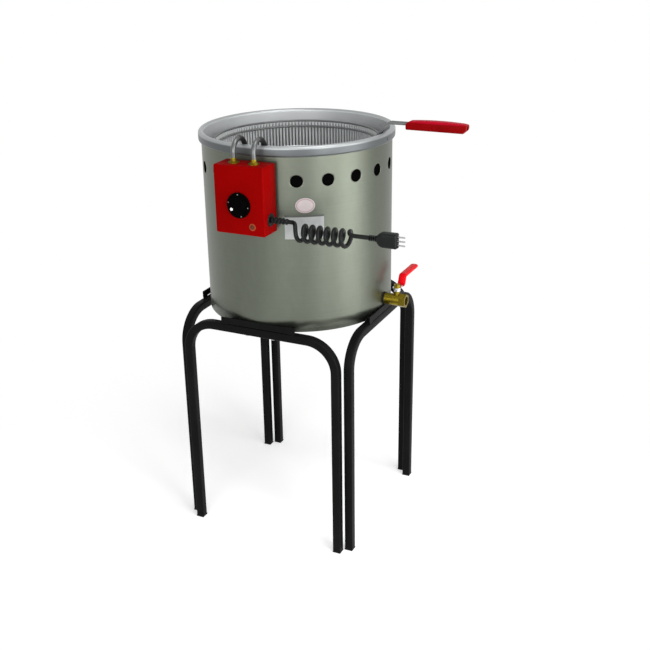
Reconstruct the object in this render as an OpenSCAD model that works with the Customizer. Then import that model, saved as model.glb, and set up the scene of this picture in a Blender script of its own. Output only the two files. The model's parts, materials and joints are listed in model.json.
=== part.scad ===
// Electric drum fryer on a square-tube stand: a steel jacket round an aluminium pot, a lift-out
// heater with its control box and curly cord, a wire basket and a brass ball valve as drain.
// Origin: on the floor under the drum's axis. +Z is up, -Y is the control side, +X is the drain side.

/* [Stand] */
// Height of the top of the four bars above the floor
stand_h = 499.5; // [380:0.5:620]
// Width of the square tube
tube_w = 18; // [15:0.5:22]
// Wall of the square tube
tube_wall = 1.5; // [1:0.1:2.5]
// Bend radius on the tube's centre line
bend_r = 64; // [40:1:80]
// Gap between the two neighbouring legs at a corner, along each side
leg_gap = 1.8; // [1:0.1:6]
// Thickness of a foot plug's sole
foot_t = 2.5; // [1.5:0.1:6]
// Depth of a foot plug inside the leg
foot_in = 12; // [6:0.5:25]
// Clearance of a foot plug inside the leg
foot_fit = 0.1; // [0.05:0.01:0.2]

/* [Guide strips] */
// Length of a guide strip
strip_l = 172; // [80:1:180]
// Height of a guide strip
strip_h = 13.5; // [8:0.5:18]
// Thickness of a guide strip
strip_t = 2.5; // [1.5:0.1:4]
// Height of the pads that carry a strip above its bar
strip_pad = 1.5; // [0.5:0.1:3]
// Length of a pad
strip_pad_l = 16; // [6:1:30]
// Clearance between a strip and the drum
strip_fit = 0.5; // [0.3:0.1:1.5]

/* [Stand bolts] */
// Diameter of a stand bolt
bolt_d = 6; // [4:0.5:7]
// Width across the flats of its head and nut
bolt_af = 9; // [8:0.5:10]
// Height of its head
bolt_head = 4; // [2:0.5:6]
// Height of its nut
bolt_nut = 4.5; // [2:0.5:6]
// Distance of a bolt from the middle of its bar
bolt_x = 30; // [20:1:45]
// Distance of a bolt from the inner face of its bar
bolt_in = 6; // [5:0.5:8]
// Clearance of a bolt in its holes
bolt_fit = 0.1; // [0.05:0.01:0.3]

/* [Drum] */
// Outer radius of the jacket
drum_r = 200; // [180:1:220]
// Height of the jacket, up to its edge under the rolled rim
drum_h = 382.3; // [340:0.1:420]
// Thickness of the jacket
jacket_t = 1; // [0.8:0.1:1.5]
// Thickness of the drum's base
base_t = 2; // [1.5:0.1:3]
// Clearance of the base inside the jacket
base_fit = 0.1; // [0.05:0.01:0.2]
// Number of vent holes
vent_n = 20; // [10:1:24]
// Diameter of a vent hole
vent_d = 25; // [12:0.5:30]
// Distance of the vent holes below the jacket's upper edge
vent_drop = 67; // [50:0.5:90]
// Direction of the first vent hole
vent_a = -64; // [-70:0.5:-58]

/* [Pot] */
// Space between the pot and the jacket
pot_gap = 3; // [2:0.1:5]
// Wall of the pot
pot_wall = 2; // [1.5:0.1:3]
// Thickness of the pot's floor
pot_floor = 3; // [2:0.1:5]
// Height of the pot above the drum's base
pot_lift = 12; // [11:0.5:14]
// Clearance between the rolled rim and the jacket's edge
rim_fit = 0.1; // [0.05:0.01:0.3]
// Straight height of the rim's skirt
skirt_h = 10; // [6:0.5:15]
// Height of the skirt's drawn-in lower edge
skirt_in_h = 5.5; // [4:0.5:14]
// Clearance between the drawn-in edge and the jacket
skirt_fit = 0.4; // [0.3:0.1:1]
// Clearance of the insulation on both sides
wrap_fit = 0.3; // [0.2:0.05:0.6]
// Distance of the insulation's upper edge below the jacket's upper edge
wrap_drop = 30; // [20:1:45]

/* [Rivets] */
// Diameter of a rivet's head
rivet_head_d = 5; // [3:0.1:8]
// Height of a rivet's head
rivet_head_h = 1.2; // [0.6:0.1:2]
// Diameter of a rivet
rivet_d = 2.6; // [1.5:0.1:3]
// Length of a rivet inside the jacket
rivet_in = 0.4; // [0.2:0.1:1]
// Directions of the rivets
rivet_a = [-0.5, 179.5];
// Distance of the rivets below the rim roll's middle
rivet_drop = 7; // [4:0.5:7]

/* [Plates] */
// Thickness of the plates on the jacket
plate_t = 0.8; // [0.4:0.1:2]
// Clearance between a plate and the jacket
plate_fit = 0.05; // [0.02:0.01:0.2]
// Width of the oval plate
badge_w = 39; // [20:1:60]
// Height of the oval plate
badge_h = 30; // [15:1:45]
// Direction of the oval plate
badge_a = -59.4; // [-65:0.1:-50]
// Height of the oval plate above the drum's base
badge_z = 267; // [240:1:290]
// Width of the square plate, along the jacket
label_w = 78; // [40:1:100]
// Height of the square plate
label_h = 48; // [20:1:60]
// Direction of the square plate
label_a = -60; // [-65:0.5:-50]
// Height of the square plate's middle above the drum's base
label_z = 223; // [150:1:226]

/* [Drain] */
// Height of the drain above the pot's floor
drain_up = 12; // [11.8:0.1:30]
// Outer diameter of the nipple
nipple_od = 20; // [16:0.5:22]
// Bore of the nipple
nipple_id = 14; // [9:0.5:15]
// Clearance of the nipple in the walls that it passes
nipple_fit = 0.1; // [0.05:0.01:0.2]
// Reach of the nipple inside the pot
nipple_in = 8; // [7:0.5:12]
// Thickness of the sealing ring on the jacket
gasket_t = 3; // [1.5:0.1:5]
// Outer diameter of the sealing ring
gasket_d = 27; // [24.5:0.5:34]
// Width across the flats of the lock nut inside the pot
locknut_af = 23; // [22.5:0.5:26]
// Thickness of the lock nut
locknut_t = 6; // [3:0.5:6.5]

/* [Ball valve] */
// Outer diameter of the valve's body
valve_d = 25; // [24.5:0.5:30]
// Length of the body
valve_l = 32; // [30:0.5:45]
// Length of the socket for the nipple
valve_socket = 9; // [6:0.5:10]
// Diameter of the collar at the body's end
collar_d = 27.5; // [26:0.5:34]
// Length of the collar
collar_l = 2; // [1:0.1:4]
// Length of the hexagonal end piece
end_l = 13; // [12.5:0.5:30]
// Width across the flats of the end piece
end_af = 26; // [24:0.5:32]
// Diameter of the outlet's threaded mouth
outlet_d = 18.6; // [15:0.1:20]
// Length of the outlet's threaded mouth
outlet_l = 9.5; // [6:0.5:10]
// Diameter of the ball
ball_d = 18.6; // [16:0.1:19]
// Bore of the ball
ball_bore = 10; // [7:0.1:11]
// Running clearance of the ball, its seats and the stem
run_fit = 0.06; // [0.03:0.01:0.1]
// Diameter of the stem
stem_d = 8; // [6:0.1:8.5]
// Diameter of the neck round the stem
neck_d = 13; // [12:0.5:15]
// Height of the neck above the valve's axis
neck_h = 20; // [17:0.5:26]
// Height of the packing nut
packing_h = 5; // [3:0.5:8]
// Width across the flats of the packing nut
packing_af = 13; // [12:0.5:18]

/* [Lever] */
// Thickness of the lever
lever_t = 3; // [2:0.1:5]
// Width of the lever
lever_w = 12; // [10:0.5:16]
// Reach of the lever from the stem to its tip
lever_reach = 106; // [80:1:140]
// Reach of the flat part before the rise
lever_flat = 26; // [20:0.5:40]
// Height of the rise
lever_rise = 17; // [8:0.5:28]
// Run of the rise
lever_run = 8; // [5:0.5:20]
// Thickness of the sleeve round the lever
sleeve_t = 2.2; // [1:0.1:3]
// Clearance of the sleeve round the lever
sleeve_fit = 0.1; // [0.05:0.01:0.3]
// Height of the nut on the stem
lever_nut_h = 6; // [3:0.5:9]
// Width across the flats of the nut on the stem
lever_nut_af = 12; // [10:0.5:16]

/* [Basket] */
// Distance of the basket's wall, on the middle of its wires, from the pot's wall
basket_gap = 21; // [18:0.5:44]
// Thickness of a wall wire
wire_d = 3; // [2:0.1:4]
// Number of wall wires
wire_n = 148; // [60:2:160]
// Diameter of the rings
ring_d = 4; // [3.5:0.1:6]
// Distance of the upper ring below the top of the rim
basket_drop = 23; // [15:0.5:40]
// Distance between the upper and the second ring
ring_step = 12; // [9:0.5:30]
// Height of the closed band at the foot of the wall
basket_foot = 12; // [6:0.5:25]
// Thickness of the basket's floor
basket_floor_t = 3; // [2:0.1:5]
// Number of slots in the floor
floor_slots = 21; // [9:2:25]
// Width of the closed edge of the floor
floor_edge = 8; // [5:0.5:15]
// Width of a slot in the floor
floor_slot_w = 9; // [4:0.5:10]
// Clearance between the pieces of the basket
basket_fit = 0.1; // [0.05:0.01:0.2]

/* [Basket handle] */
// Diameter of the handle's wires
handle_d = 5; // [4:0.1:6]
// Distance between the handle's two wires
handle_gap = 13; // [9:0.5:16]
// Length of the stays that run down the basket's wall
stay_l = 60; // [30:1:120]
// Slope of the part that crosses the rim
handle_slope = 49; // [46:0.5:60]
// Height of the handle's straight part above the top of the rim
handle_up = 20; // [17:0.5:40]
// Bend radius on the wire's centre line
handle_bend = 12; // [8:0.5:20]
// Height of the lower bend's start above the upper ring
handle_bend_up = 4; // [2:0.5:8]
// Distance of the grip's inner end from the rim's outer edge
grip_gap = 40; // [34:1:64]
// Distance of the grip's middle below the wires
grip_low = 1.5; // [0:0.1:3]
// Length of the grip
grip_l = 124; // [90:1:150]
// Height of the grip
grip_h = 21; // [16:0.5:26]
// Width of the grip
grip_w = 25; // [22:0.5:30]
// Length of wire inside the grip
grip_in = 90; // [40:1:90]
// Diameter of the recess in the grip's end
grip_hole = 9; // [4:0.5:11]
// Depth of the recess in the grip's end
grip_hole_in = 6; // [2:0.5:12]
// Clearance of the wires in the grip
grip_fit = 0.1; // [0.05:0.01:0.2]

/* [Control box] */
// Width of the box
box_w = 106; // [95:1:130]
// Depth of the box
box_d = 48; // [44:0.5:60]
// Height of the box
box_h = 133; // [120:1:160]
// Wall of the box
box_wall = 1.2; // [0.8:0.1:2]
// Radius of the box's corners
box_round = 1.5; // [1:0.1:5]
// Sideways offset of the heater from the front
heater_x = 2; // [-6:0.5:6]
// Distance of the box behind the rim's outer edge
box_gap = 0.6; // [0.4:0.1:4]
// Distance of the box's top below the skirt
box_drop = 9; // [3:0.5:15]
// Thickness of the back plate
back_t = 1.2; // [0.8:0.1:2]
// Clearance of the back plate in the box
back_fit = 0.2; // [0.1:0.05:0.4]
// Width of a corner post
post_w = 8; // [7:0.5:10]
// Diameter of a box screw
screw_d = 3; // [2:0.1:4]
// Length of a box screw
screw_l = 10; // [5:0.5:15]
// Diameter of a screw's head
screw_head_d = 6; // [4.5:0.1:8]
// Height of a screw's head
screw_head_h = 1.6; // [1:0.1:3]

/* [Thermostat and lamp] */
// Height of the knob above the box's underside
knob_z = 58; // [45:0.5:80]
// Diameter of the knob's dial
knob_d = 51; // [38:0.5:54]
// Thickness of the knob's dial
dial_t = 5; // [3:0.5:7]
// Diameter of the knob's grip
knob_grip_d = 36; // [20:1:37]
// Height of the knob's grip
knob_grip_h = 7; // [4:0.5:14]
// Gap between the knob and the box
knob_gap = 0.8; // [0.4:0.1:2]
// Directions of the dial's marks
mark_a = [90, 166, 287, 353];
// Diameter of a mark
mark_d = 2.4; // [1.5:0.1:4]
// Direction of the knob's pointer
pointer_a = 209; // [0:1:360]
// Diameter of the pointer
pointer_d = 6; // [3:0.1:7]
// Distance of the pointer's middle from the grip's edge
pointer_in = 6; // [3.5:0.1:6]
// Diameter of the knob's shaft
shaft_d = 6; // [4:0.1:7]
// Diameter of the thermostat's bush
bush_d = 10; // [8.5:0.1:12]
// Width of the thermostat
stat_w = 36; // [24:1:44]
// Depth of the thermostat
stat_d = 24; // [16:0.5:28]
// Height of the thermostat
stat_h = 34; // [20:1:44]
// Sideways place of the lamp from the box's middle
lamp_x = 27.5; // [22:0.5:30]
// Height of the lamp above the box's underside
lamp_z = 17; // [14:0.5:20]
// Diameter of the lamp's ring
lamp_d = 14; // [8:0.5:16]
// Thickness of the lamp's ring
lamp_t = 2; // [1:0.1:3]
// Diameter of the lamp's lens
lens_d = 8; // [5:0.5:9]
// Length of the lamp's body behind the panel
lamp_l = 18; // [8:0.5:24]
// Width of the terminal block
term_w = 40; // [20:1:60]
// Depth of the terminal block
term_d = 12; // [6:0.5:14]
// Height of the terminal block
term_h = 16; // [8:0.5:24]
// Height of the terminal block above the box's underside
term_z = 90; // [80:0.5:92]

/* [Heating element] */
// Diameter of the element's tube
el_d = 10; // [7:0.1:11]
// Distance between the element's two legs
el_span = 44; // [36:0.5:56]
// Distance of the inner legs from the pot's wall
el_wall = 9; // [7.5:0.1:9.5]
// Height of the arches above the top of the rim
arch_up = 13.5; // [9:0.5:25]
// Length of the element's cold ends inside the box
el_in = 28; // [18:0.5:34]
// Bend radius where the legs turn inwards
el_bend = 30; // [20:1:35]
// Radius of the heating loop
loop_r = 115; // [95:1:120]
// Radius of the curves that lead into the loop
loop_in_r = 30; // [20:1:40]
// Height of the loop above the pot's floor
loop_up = 24; // [16:0.5:30]
// Outer diameter of a fitting's washer
fit_d = 23; // [20:0.5:26]
// Thickness of a fitting's washer
fit_t = 2.5; // [1:0.1:4]
// Width across the flats of a fitting's nut
fit_af = 14; // [13:0.5:19]
// Height of a fitting's nut
fit_h = 2.5; // [2:0.5:8]
// Height of a fitting's sleeve above its nut
fit_up = 6; // [3:0.5:12]
// Wall of a fitting's sleeve
fit_wall = 0.8; // [0.8:0.1:2]
// Diameter of a fitting's threaded shank
shank_d = 15; // [13.5:0.5:16]
// Length of the shank
shank_l = 9; // [6:0.5:12]
// Thickness of the nut under the box's top
fit_nut_t = 4; // [2:0.5:5]
// Clearance of the element and of the fittings in their holes
el_fit = 0.1; // [0.05:0.01:0.2]

/* [Element guard] */
// Radius of the guard plate
guard_r = 160; // [148:1:168]
// Thickness of the guard plate
guard_t = 2; // [1.5:0.1:3]
// Height of the guard plate above the middle of the loop
guard_up = 12; // [9:0.5:20]
// Diameter of the guard's legs
guard_leg_d = 8; // [5:0.5:12]
// Radius of the circle of the guard's legs
guard_leg_r = 140; // [132:1:150]
// Diameter of the guard's holes
guard_hole = 18; // [8:0.5:22]
// Clearance of the guard over the floor and of the basket over the guard
rest_fit = 0.2; // [0.1:0.05:0.4]
// Width of a loop clip
clip_w = 8; // [4:0.5:12]
// Wall of a loop clip
clip_wall = 2.5; // [1.5:0.1:4]
// Clearance of the loop in a clip
clip_fit = 0.3; // [0.2:0.05:0.5]

/* [Cord] */
// Diameter of the cord
cord_d = 8.4; // [6:0.1:10]
// Height of the gland above the box's underside
gland_z = 28; // [18:0.5:34]
// Diameter of the gland's flange
gland_d = 26; // [18:0.5:26]
// Thickness of the gland's flange
gland_t = 3; // [1.5:0.1:5]
// Length of the gland inside the box
gland_in = 8; // [4:0.5:12]
// Diameter of the gland's neck
gland_neck = 14; // [10:0.5:16]
// Length of the ribbed boot
boot_l = 37; // [30:1:70]
// Number of the boot's ribs
boot_n = 5; // [3:1:12]
// Number of curls
curls = 7; // [3:1:12]
// Radius of a curl on the cord's centre line
curl_r = 14.8; // [10:0.1:18]
// Drop of the curls' tops below the boot
curl_drop = 4.3; // [0:0.1:8]
// Distance from curl to curl
curl_pitch = 15.6; // [12:0.1:20]
// Straight length between the curls and the plug
cord_out = 29; // [20:1:80]
// Length of the plug's boot
plug_boot = 16; // [10:1:30]
// Length of the plug's body
plug_l = 40; // [30:1:50]
// Height of the plug's body
plug_h = 29; // [22:0.5:40]
// Width of the plug's body
plug_w = 19; // [16:0.5:30]
// Distance between the plug's pins
pin_step = 8; // [6.5:0.1:11]
// Diameter of a pin
pin_d = 3; // [2.5:0.1:5]
// Length of a pin
pin_l = 15; // [10:0.5:20]

/* [Hidden] */
$fn = 96;

// to the nearest hundredth
function cent(v) = round(v * 100) / 100;
// Stand
stand_half = drum_r + strip_fit + strip_t;
bar_y = stand_half - tube_w / 2;
leg_out = stand_half - tube_w - leg_gap;
leg_x = leg_out - tube_w / 2;
leg_top = stand_h - tube_w / 2 - bend_r;
bar_half = leg_x - bend_r;
bolt_y = stand_half - tube_w + bolt_in;
// Drum and pot
drum_z = stand_h;
drum_top = drum_z + drum_h;
jacket_in = drum_r - jacket_t;
base_top = drum_z + base_t;
pot_out = jacket_in - pot_gap;
pot_in = pot_out - pot_wall;
roll_out = drum_r - pot_in;
roll_in = roll_out - pot_wall;
rim_z = cent(drum_top + rim_fit - sqrt(roll_in * roll_in - jacket_t * jacket_t));
rim_top = rim_z + roll_out;
rim_r = drum_r + roll_out;
skirt_z = rim_z - skirt_h;
skirt_low = skirt_z - skirt_in_h;
pot_z = base_top + pot_lift;
floor_z = pot_z + pot_floor;
rivet_z = rim_z - rivet_drop;
vent_h = drum_top - vent_drop;
// Drain, from the jacket outwards
dz = floor_z + drain_up;
gasket_x = drum_r + 0.2;
valve_x = gasket_x + gasket_t;
end_x = valve_x + valve_l;
out_x = end_x + collar_l + end_l;
ball_r = ball_d / 2;
seat_out = ball_r + 0.6;
ball_x = end_x - neck_d / 2;
chamber_r = ball_r + run_fit + 0.1;
stem_low = cent(dz + sqrt(ball_r * ball_r - stem_d * stem_d / 16) - 2);
neck_top = dz + neck_h;
lever_z = neck_top + packing_h + 0.3;
nut_z = lever_z + lever_t;
stem_top = nut_z + lever_nut_h + 2;
// Basket
basket_r = pot_in - basket_gap;
ring_z = rim_top - basket_drop;
guard_z = floor_z + loop_up + guard_up;
basket_z = guard_z + guard_t + rest_fit;
wall_in = basket_r - wire_d / 2;
wall_out = basket_r + wire_d / 2;
wall_top = ring_z - ring_d / 2;
slot_w = 2 * PI * basket_r / wire_n - wire_d;
ring2_z = ring_z - ring_step;
ring2_r = wall_in - ring_d / 2 - basket_fit;
// Handle, in the X-Z plane
handle_z = rim_top + handle_up;
stay_x = basket_r + ring_d / 2 + handle_d / 2 + basket_fit;
bend1_z = ring_z + handle_bend_up;
hb = handle_bend;
hs = handle_slope;
// end of the lower bend, then the sloping run up to the upper bend
low_x = stay_x + hb * (1 - sin(hs));
low_z = bend1_z + hb * cos(hs);
up_dz = hb * (1 - cos(hs));
slope_l = (handle_z - up_dz - low_z) / sin(hs);
up_x = low_x + slope_l * cos(hs);
flat_x = up_x + hb * sin(hs);
grip_x = rim_r + grip_gap;
grip_z = handle_z - grip_low;
// Control box
box_top = skirt_low - box_drop;
box_z = box_top - box_h;
box_back = rim_r + box_gap;
box_front = box_back + box_d;
box_mid = box_back + box_d / 2;
kz = box_z + knob_z;
// Element
el_y = pot_in - el_wall;
arch_r = (box_mid - el_y) / 2;
arch_y = (box_mid + el_y) / 2;
arch_z = rim_top + arch_up - arch_r;
loop_z = floor_z + loop_up;
lead_y = sqrt(pow(loop_r + loop_in_r, 2) - pow(el_span / 2 + loop_in_r, 2));
lead_a = atan2(lead_y, el_span / 2 + loop_in_r);
// Cord
gz = box_z + gland_z;
gland_x = heater_x + box_w / 2;
boot_x = gland_x + gland_t;
cord_x = boot_x + boot_l;
cord_y = -box_mid;
curl_z = gz - curl_drop - curl_r;
curl_steps = 8;
lead_run = 1.35 * curl_r;
end_turn = 44;

// Helpers
module hex(af, h) { cylinder(r = af / 2 / cos(30), h = h, $fn = 6); }
module ring(rad, d) { rotate_extrude() translate([rad, 0]) circle(d = d, $fn = 32); }
module tube(ro, ri, h) { difference() { cylinder(r = ro, h = h); translate([0, 0, -1]) cylinder(r = ri, h = h + 2); } }
// straight run of a bent rod along +Z, which reaches 1 mm into the slightly thicker bends at its ends
bend_over = 0.2;
module run(d, h, low = 1, up = 1) { translate([0, 0, -low]) cylinder(d = d, h = h + low + up); }
// turn a shape from +Z to +X
module along_x() { rotate([0, 90, 0]) children(); }
// turn a shape from +Z to -Y
module to_front() { rotate([90, 0, 0]) children(); }

// Stand
// one bent square bar: two legs, two bends and the top bar, in the X-Z plane at y = 0
module bent_bar(w, low) {
    for (s = [0, 1]) mirror([s, 0, 0]) {
        translate([leg_x - w / 2, -w / 2, low]) cube([w, w, leg_top - low]);
        translate([bar_half, 0, leg_top]) rotate([90, 0, 0])
            rotate_extrude(angle = 90) translate([bend_r - w / 2, -w / 2]) square([w, w]);
    }
    translate([-bar_half, -w / 2, stand_h - tube_w / 2 - w / 2]) cube([2 * bar_half, w, w]);
}
module side_frame(a) {
    rotate(a) difference() {
        translate([0, -bar_y, 0]) difference() {
            bent_bar(tube_w, foot_t);
            bent_bar(tube_w - 2 * tube_wall, foot_t - 1);
        }
        for (s = [-1, 1]) translate([s * bolt_x, -bolt_y, stand_h - tube_w - 1])
            cylinder(d = bolt_d + 2 * bolt_fit, h = tube_w + 2);
    }
}
module front_frame() { color([0.1, 0.1, 0.1]) side_frame(0); }
module right_frame() { color([0.1, 0.1, 0.1]) side_frame(90); }
module back_frame() { color([0.1, 0.1, 0.1]) side_frame(180); }
module left_frame() { color([0.1, 0.1, 0.1]) side_frame(270); }
module foot_plugs() {
    plug_in = tube_w - 2 * tube_wall - 2 * foot_fit;
    color([0.07, 0.07, 0.07]) for (a = [0 : 90 : 270], s = [-1, 1]) rotate(a) translate([s * leg_x, -bar_y, 0]) {
        translate([-tube_w / 2, -tube_w / 2, 0]) cube([tube_w, tube_w, foot_t]);
        translate([-plug_in / 2, -plug_in / 2, foot_t]) cube([plug_in, plug_in, foot_in]);
    }
}
module guide_strips() {
    color([0.1, 0.1, 0.1]) for (a = [0 : 90 : 270]) rotate(a) translate([0, -stand_half, stand_h]) {
        translate([-strip_l / 2, 0, strip_pad]) cube([strip_l, strip_t, strip_h]);
        for (s = [-1, 1]) translate([s * (strip_l - strip_pad_l) / 2 - strip_pad_l / 2, 0, 0])
            cube([strip_pad_l, strip_t, strip_pad]);
    }
}
module each_bolt() {
    for (a = [0 : 90 : 270], s = [-1, 1]) rotate(a) translate([s * bolt_x, -bolt_y, 0]) children();
}
module stand_bolts() {
    color([0.5, 0.5, 0.5]) each_bolt() {
        translate([0, 0, stand_h - tube_w - bolt_head]) hex(bolt_af, bolt_head);
        translate([0, 0, stand_h - tube_w]) cylinder(d = bolt_d, h = tube_w + base_t + bolt_nut + 1.5);
    }
}
module stand_nuts() {
    color([0.55, 0.55, 0.55]) each_bolt() translate([0, 0, base_top]) difference() {
        hex(bolt_af, bolt_nut);
        translate([0, 0, -1]) cylinder(d = bolt_d + 2 * bolt_fit, h = bolt_nut + 2);
    }
}

// Drum
module drum_base() {
    color([0.5, 0.52, 0.5]) difference() {
        translate([0, 0, drum_z]) cylinder(r = jacket_in - base_fit, h = base_t);
        each_bolt() translate([0, 0, drum_z - 1]) cylinder(d = bolt_d + 2 * bolt_fit, h = base_t + 2);
    }
}
module rivet_holes(ri, ro) {
    for (a = rivet_a) rotate(a) translate([ri, 0, rivet_z]) along_x() cylinder(d = rivet_d + 0.1, h = ro - ri);
}
module drum_jacket() {
    color([0.55, 0.57, 0.52]) difference() {
        translate([0, 0, drum_z]) tube(drum_r, jacket_in, drum_h);
        for (i = [0 : vent_n - 1]) rotate(vent_a + i * 360 / vent_n) translate([jacket_in - 5, 0, vent_h])
            along_x() cylinder(d = vent_d, h = 10 + jacket_t);
        translate([jacket_in - 5, 0, dz]) along_x() cylinder(d = nipple_od + 2 * nipple_fit, h = 10 + jacket_t);
        rivet_holes(jacket_in - 5, drum_r + 2);
    }
}
module insulation_wrap() {
    color([0.12, 0.12, 0.12]) difference() {
        translate([0, 0, pot_z]) tube(jacket_in - wrap_fit, pot_out + wrap_fit, drum_top - wrap_drop - pot_z);
        translate([pot_out - 5, 0, dz]) along_x() cylinder(d = nipple_od + 2 * nipple_fit, h = 10 + pot_gap);
    }
}
// pot: floor, wall, and a rolled rim whose skirt hangs over the jacket's edge
module inner_pot() {
    color([0.78, 0.79, 0.79]) difference() {
        union() {
            translate([0, 0, pot_z]) cylinder(r = pot_out, h = pot_floor);
            translate([0, 0, floor_z]) tube(pot_out, pot_in, rim_z - floor_z);
            rotate_extrude() intersection() {
                translate([drum_r, rim_z]) difference() { circle(r = roll_out); circle(r = roll_in); }
                translate([pot_in - 1, rim_z]) square([2 * roll_out + 2, roll_out + 1]);
            }
            translate([0, 0, skirt_z]) tube(rim_r, drum_r + roll_in, skirt_h);
            rotate_extrude() polygon([[drum_r + roll_in, skirt_z], [drum_r + skirt_fit, skirt_low],
                [drum_r + skirt_fit + pot_wall, skirt_low], [rim_r, skirt_z]]);
        }
        translate([pot_in - 5, 0, dz]) along_x() cylinder(d = nipple_od + 2 * nipple_fit, h = 8 + pot_wall);
        rivet_holes(drum_r + 1, rim_r + 2);
    }
}
module rim_rivets() {
    color([0.35, 0.35, 0.36]) for (a = rivet_a) rotate(a) translate([0, 0, rivet_z]) {
        translate([jacket_in - rivet_in, 0, 0]) along_x() cylinder(d = rivet_d, h = rim_r - jacket_in + rivet_in);
        translate([rim_r, 0, 0]) along_x() cylinder(d = rivet_head_d, h = rivet_head_h);
    }
}
module plate_shell(h) { tube(drum_r + plate_fit + plate_t, drum_r + plate_fit, h); }
module badge_plate() {
    oval = [for (i = [0 : 47]) [badge_w / 2 * cos(i * 7.5), badge_h / 2 * sin(i * 7.5)]];
    color([0.85, 0.83, 0.84]) rotate(badge_a) translate([0, 0, drum_z + badge_z]) intersection() {
        translate([0, 0, -badge_h]) plate_shell(2 * badge_h);
        translate([drum_r / 2, 0, 0]) rotate([90, 0, 90]) linear_extrude(drum_r) polygon(oval);
    }
}
module rating_plate() {
    turn = label_w / (drum_r + plate_fit) * 180 / PI;
    color([0.8, 0.8, 0.8]) rotate(label_a - turn / 2) translate([0, 0, drum_z + label_z - label_h / 2])
        rotate_extrude(angle = turn) translate([drum_r + plate_fit, 0]) square([plate_t, label_h]);
}

// Drain and ball valve, along +X
module on_drain(x) { translate([x, 0, dz]) along_x() children(); }
module drain_gasket() {
    color([0.1, 0.1, 0.1]) on_drain(gasket_x) tube(gasket_d / 2, nipple_od / 2 + nipple_fit, gasket_t);
}
module drain_nipple() {
    color([0.65, 0.55, 0.2]) on_drain(pot_in - nipple_in)
        tube(nipple_od / 2, nipple_id / 2, valve_x + valve_socket - pot_in + nipple_in);
}
module drain_lock_nut() {
    back = pot_in - sqrt(pot_in * pot_in - pow(locknut_af / 2 / cos(30), 2)) + 0.15;
    color([0.7, 0.6, 0.25]) on_drain(pot_in - back - locknut_t) rotate(30) difference() {
        hex(locknut_af, locknut_t);
        translate([0, 0, -1]) cylinder(d = nipple_od + 2 * nipple_fit, h = locknut_t + 2);
    }
}
module valve_body() {
    color([0.7, 0.6, 0.2]) difference() {
        union() {
            on_drain(valve_x) cylinder(d = valve_d, h = valve_l);
            translate([ball_x, 0, dz]) cylinder(d = neck_d, h = neck_h);
        }
        on_drain(valve_x - 1) cylinder(d = nipple_od + 2 * nipple_fit, h = valve_socket + 1);
        on_drain(valve_x) cylinder(d = ball_bore + 1, h = valve_l);
        on_drain(ball_x - seat_out - 0.05) cylinder(r = chamber_r, h = valve_l);
        translate([ball_x, 0, dz]) cylinder(d = stem_d + 2 * run_fit, h = neck_h + 1);
    }
}
module valve_end() {
    color([0.75, 0.65, 0.25]) on_drain(end_x) difference() {
        union() {
            cylinder(d = collar_d, h = collar_l);
            translate([0, 0, collar_l]) hex(end_af, end_l);
        }
        translate([0, 0, -1]) cylinder(d = ball_bore + 1, h = collar_l + end_l + 2);
        translate([0, 0, -1]) cylinder(r = chamber_r, h = 1 + ball_x + seat_out + 0.05 - end_x);
        translate([0, 0, collar_l + end_l - outlet_l]) cylinder(d = outlet_d, h = outlet_l + 1);
    }
}
// seats: rings whose conical face lies on the ball
module valve_seats() {
    k = cent((ball_r + run_fit) * sqrt(2));
    ro = chamber_r - 0.05;
    ri = ball_bore / 2 + 0.5;
    color([0.95, 0.95, 0.93]) for (s = [0, 1]) translate([ball_x, 0, dz]) mirror([s, 0, 0]) along_x()
        rotate_extrude() polygon([[ri, seat_out], [ri, k - ri], [ro, k - ro], [ro, seat_out]]);
}
module packing_nut() {
    color([0.75, 0.75, 0.74]) translate([ball_x, 0, neck_top]) difference() {
        hex(packing_af, packing_h);
        translate([0, 0, -1]) cylinder(d = stem_d + 2 * run_fit, h = packing_h + 2);
    }
}
// ball with its bore across the pipe, so the valve is closed as drawn
module valve_ball() {
    color([0.8, 0.8, 0.8]) translate([ball_x, 0, dz]) difference() {
        sphere(r = ball_r);
        rotate([90, 0, 0]) cylinder(d = ball_bore, h = ball_d + 2, center = true);
        translate([0, 0, stem_low - dz - 0.1]) cylinder(d = stem_d / 2 + 0.1, h = ball_d);
    }
}
module valve_stem() {
    shoulder = dz + ball_r + 0.1;
    color([0.7, 0.6, 0.25]) translate([ball_x, 0, 0]) {
        translate([0, 0, stem_low]) cylinder(d = stem_d / 2, h = shoulder - stem_low + 1);
        translate([0, 0, shoulder]) cylinder(d = stem_d, h = lever_z - shoulder);
        translate([0, 0, lever_z - 1]) cylinder(d = stem_d - 2, h = stem_top - lever_z + 1);
    }
}
// lever: flat part on the stem, rise, then the long part towards +Y
module lever_side(grow, y0) {
    t = lever_t;
    translate([-lever_w / 2 - grow, 0, 0]) rotate([90, 0, 90]) linear_extrude(lever_w + 2 * grow) polygon([
        [y0, -grow], [lever_flat + grow / 2, -grow], [lever_flat + lever_run + grow / 2, lever_rise - grow],
        [lever_reach + grow, lever_rise - grow], [lever_reach + grow, lever_rise + t + grow],
        [lever_flat + lever_run - t / 2 - grow / 2, lever_rise + t + grow],
        [lever_flat - t / 2 - grow / 2, t + grow], [y0, t + grow]]);
}
module valve_lever() {
    color([0.6, 0.6, 0.6]) translate([ball_x, 0, lever_z]) difference() {
        union() {
            lever_side(0, 0);
            cylinder(d = lever_w + 6, h = lever_t);
        }
        translate([0, 0, -1]) cylinder(d = stem_d - 2 + 0.1, h = lever_t + 2);
    }
}
module lever_sleeve() {
    color([0.85, 0, 0.08]) translate([ball_x, 0, lever_z]) difference() {
        lever_side(sleeve_fit + sleeve_t, lever_flat - 5);
        lever_side(sleeve_fit, lever_flat - 10);
    }
}
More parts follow.
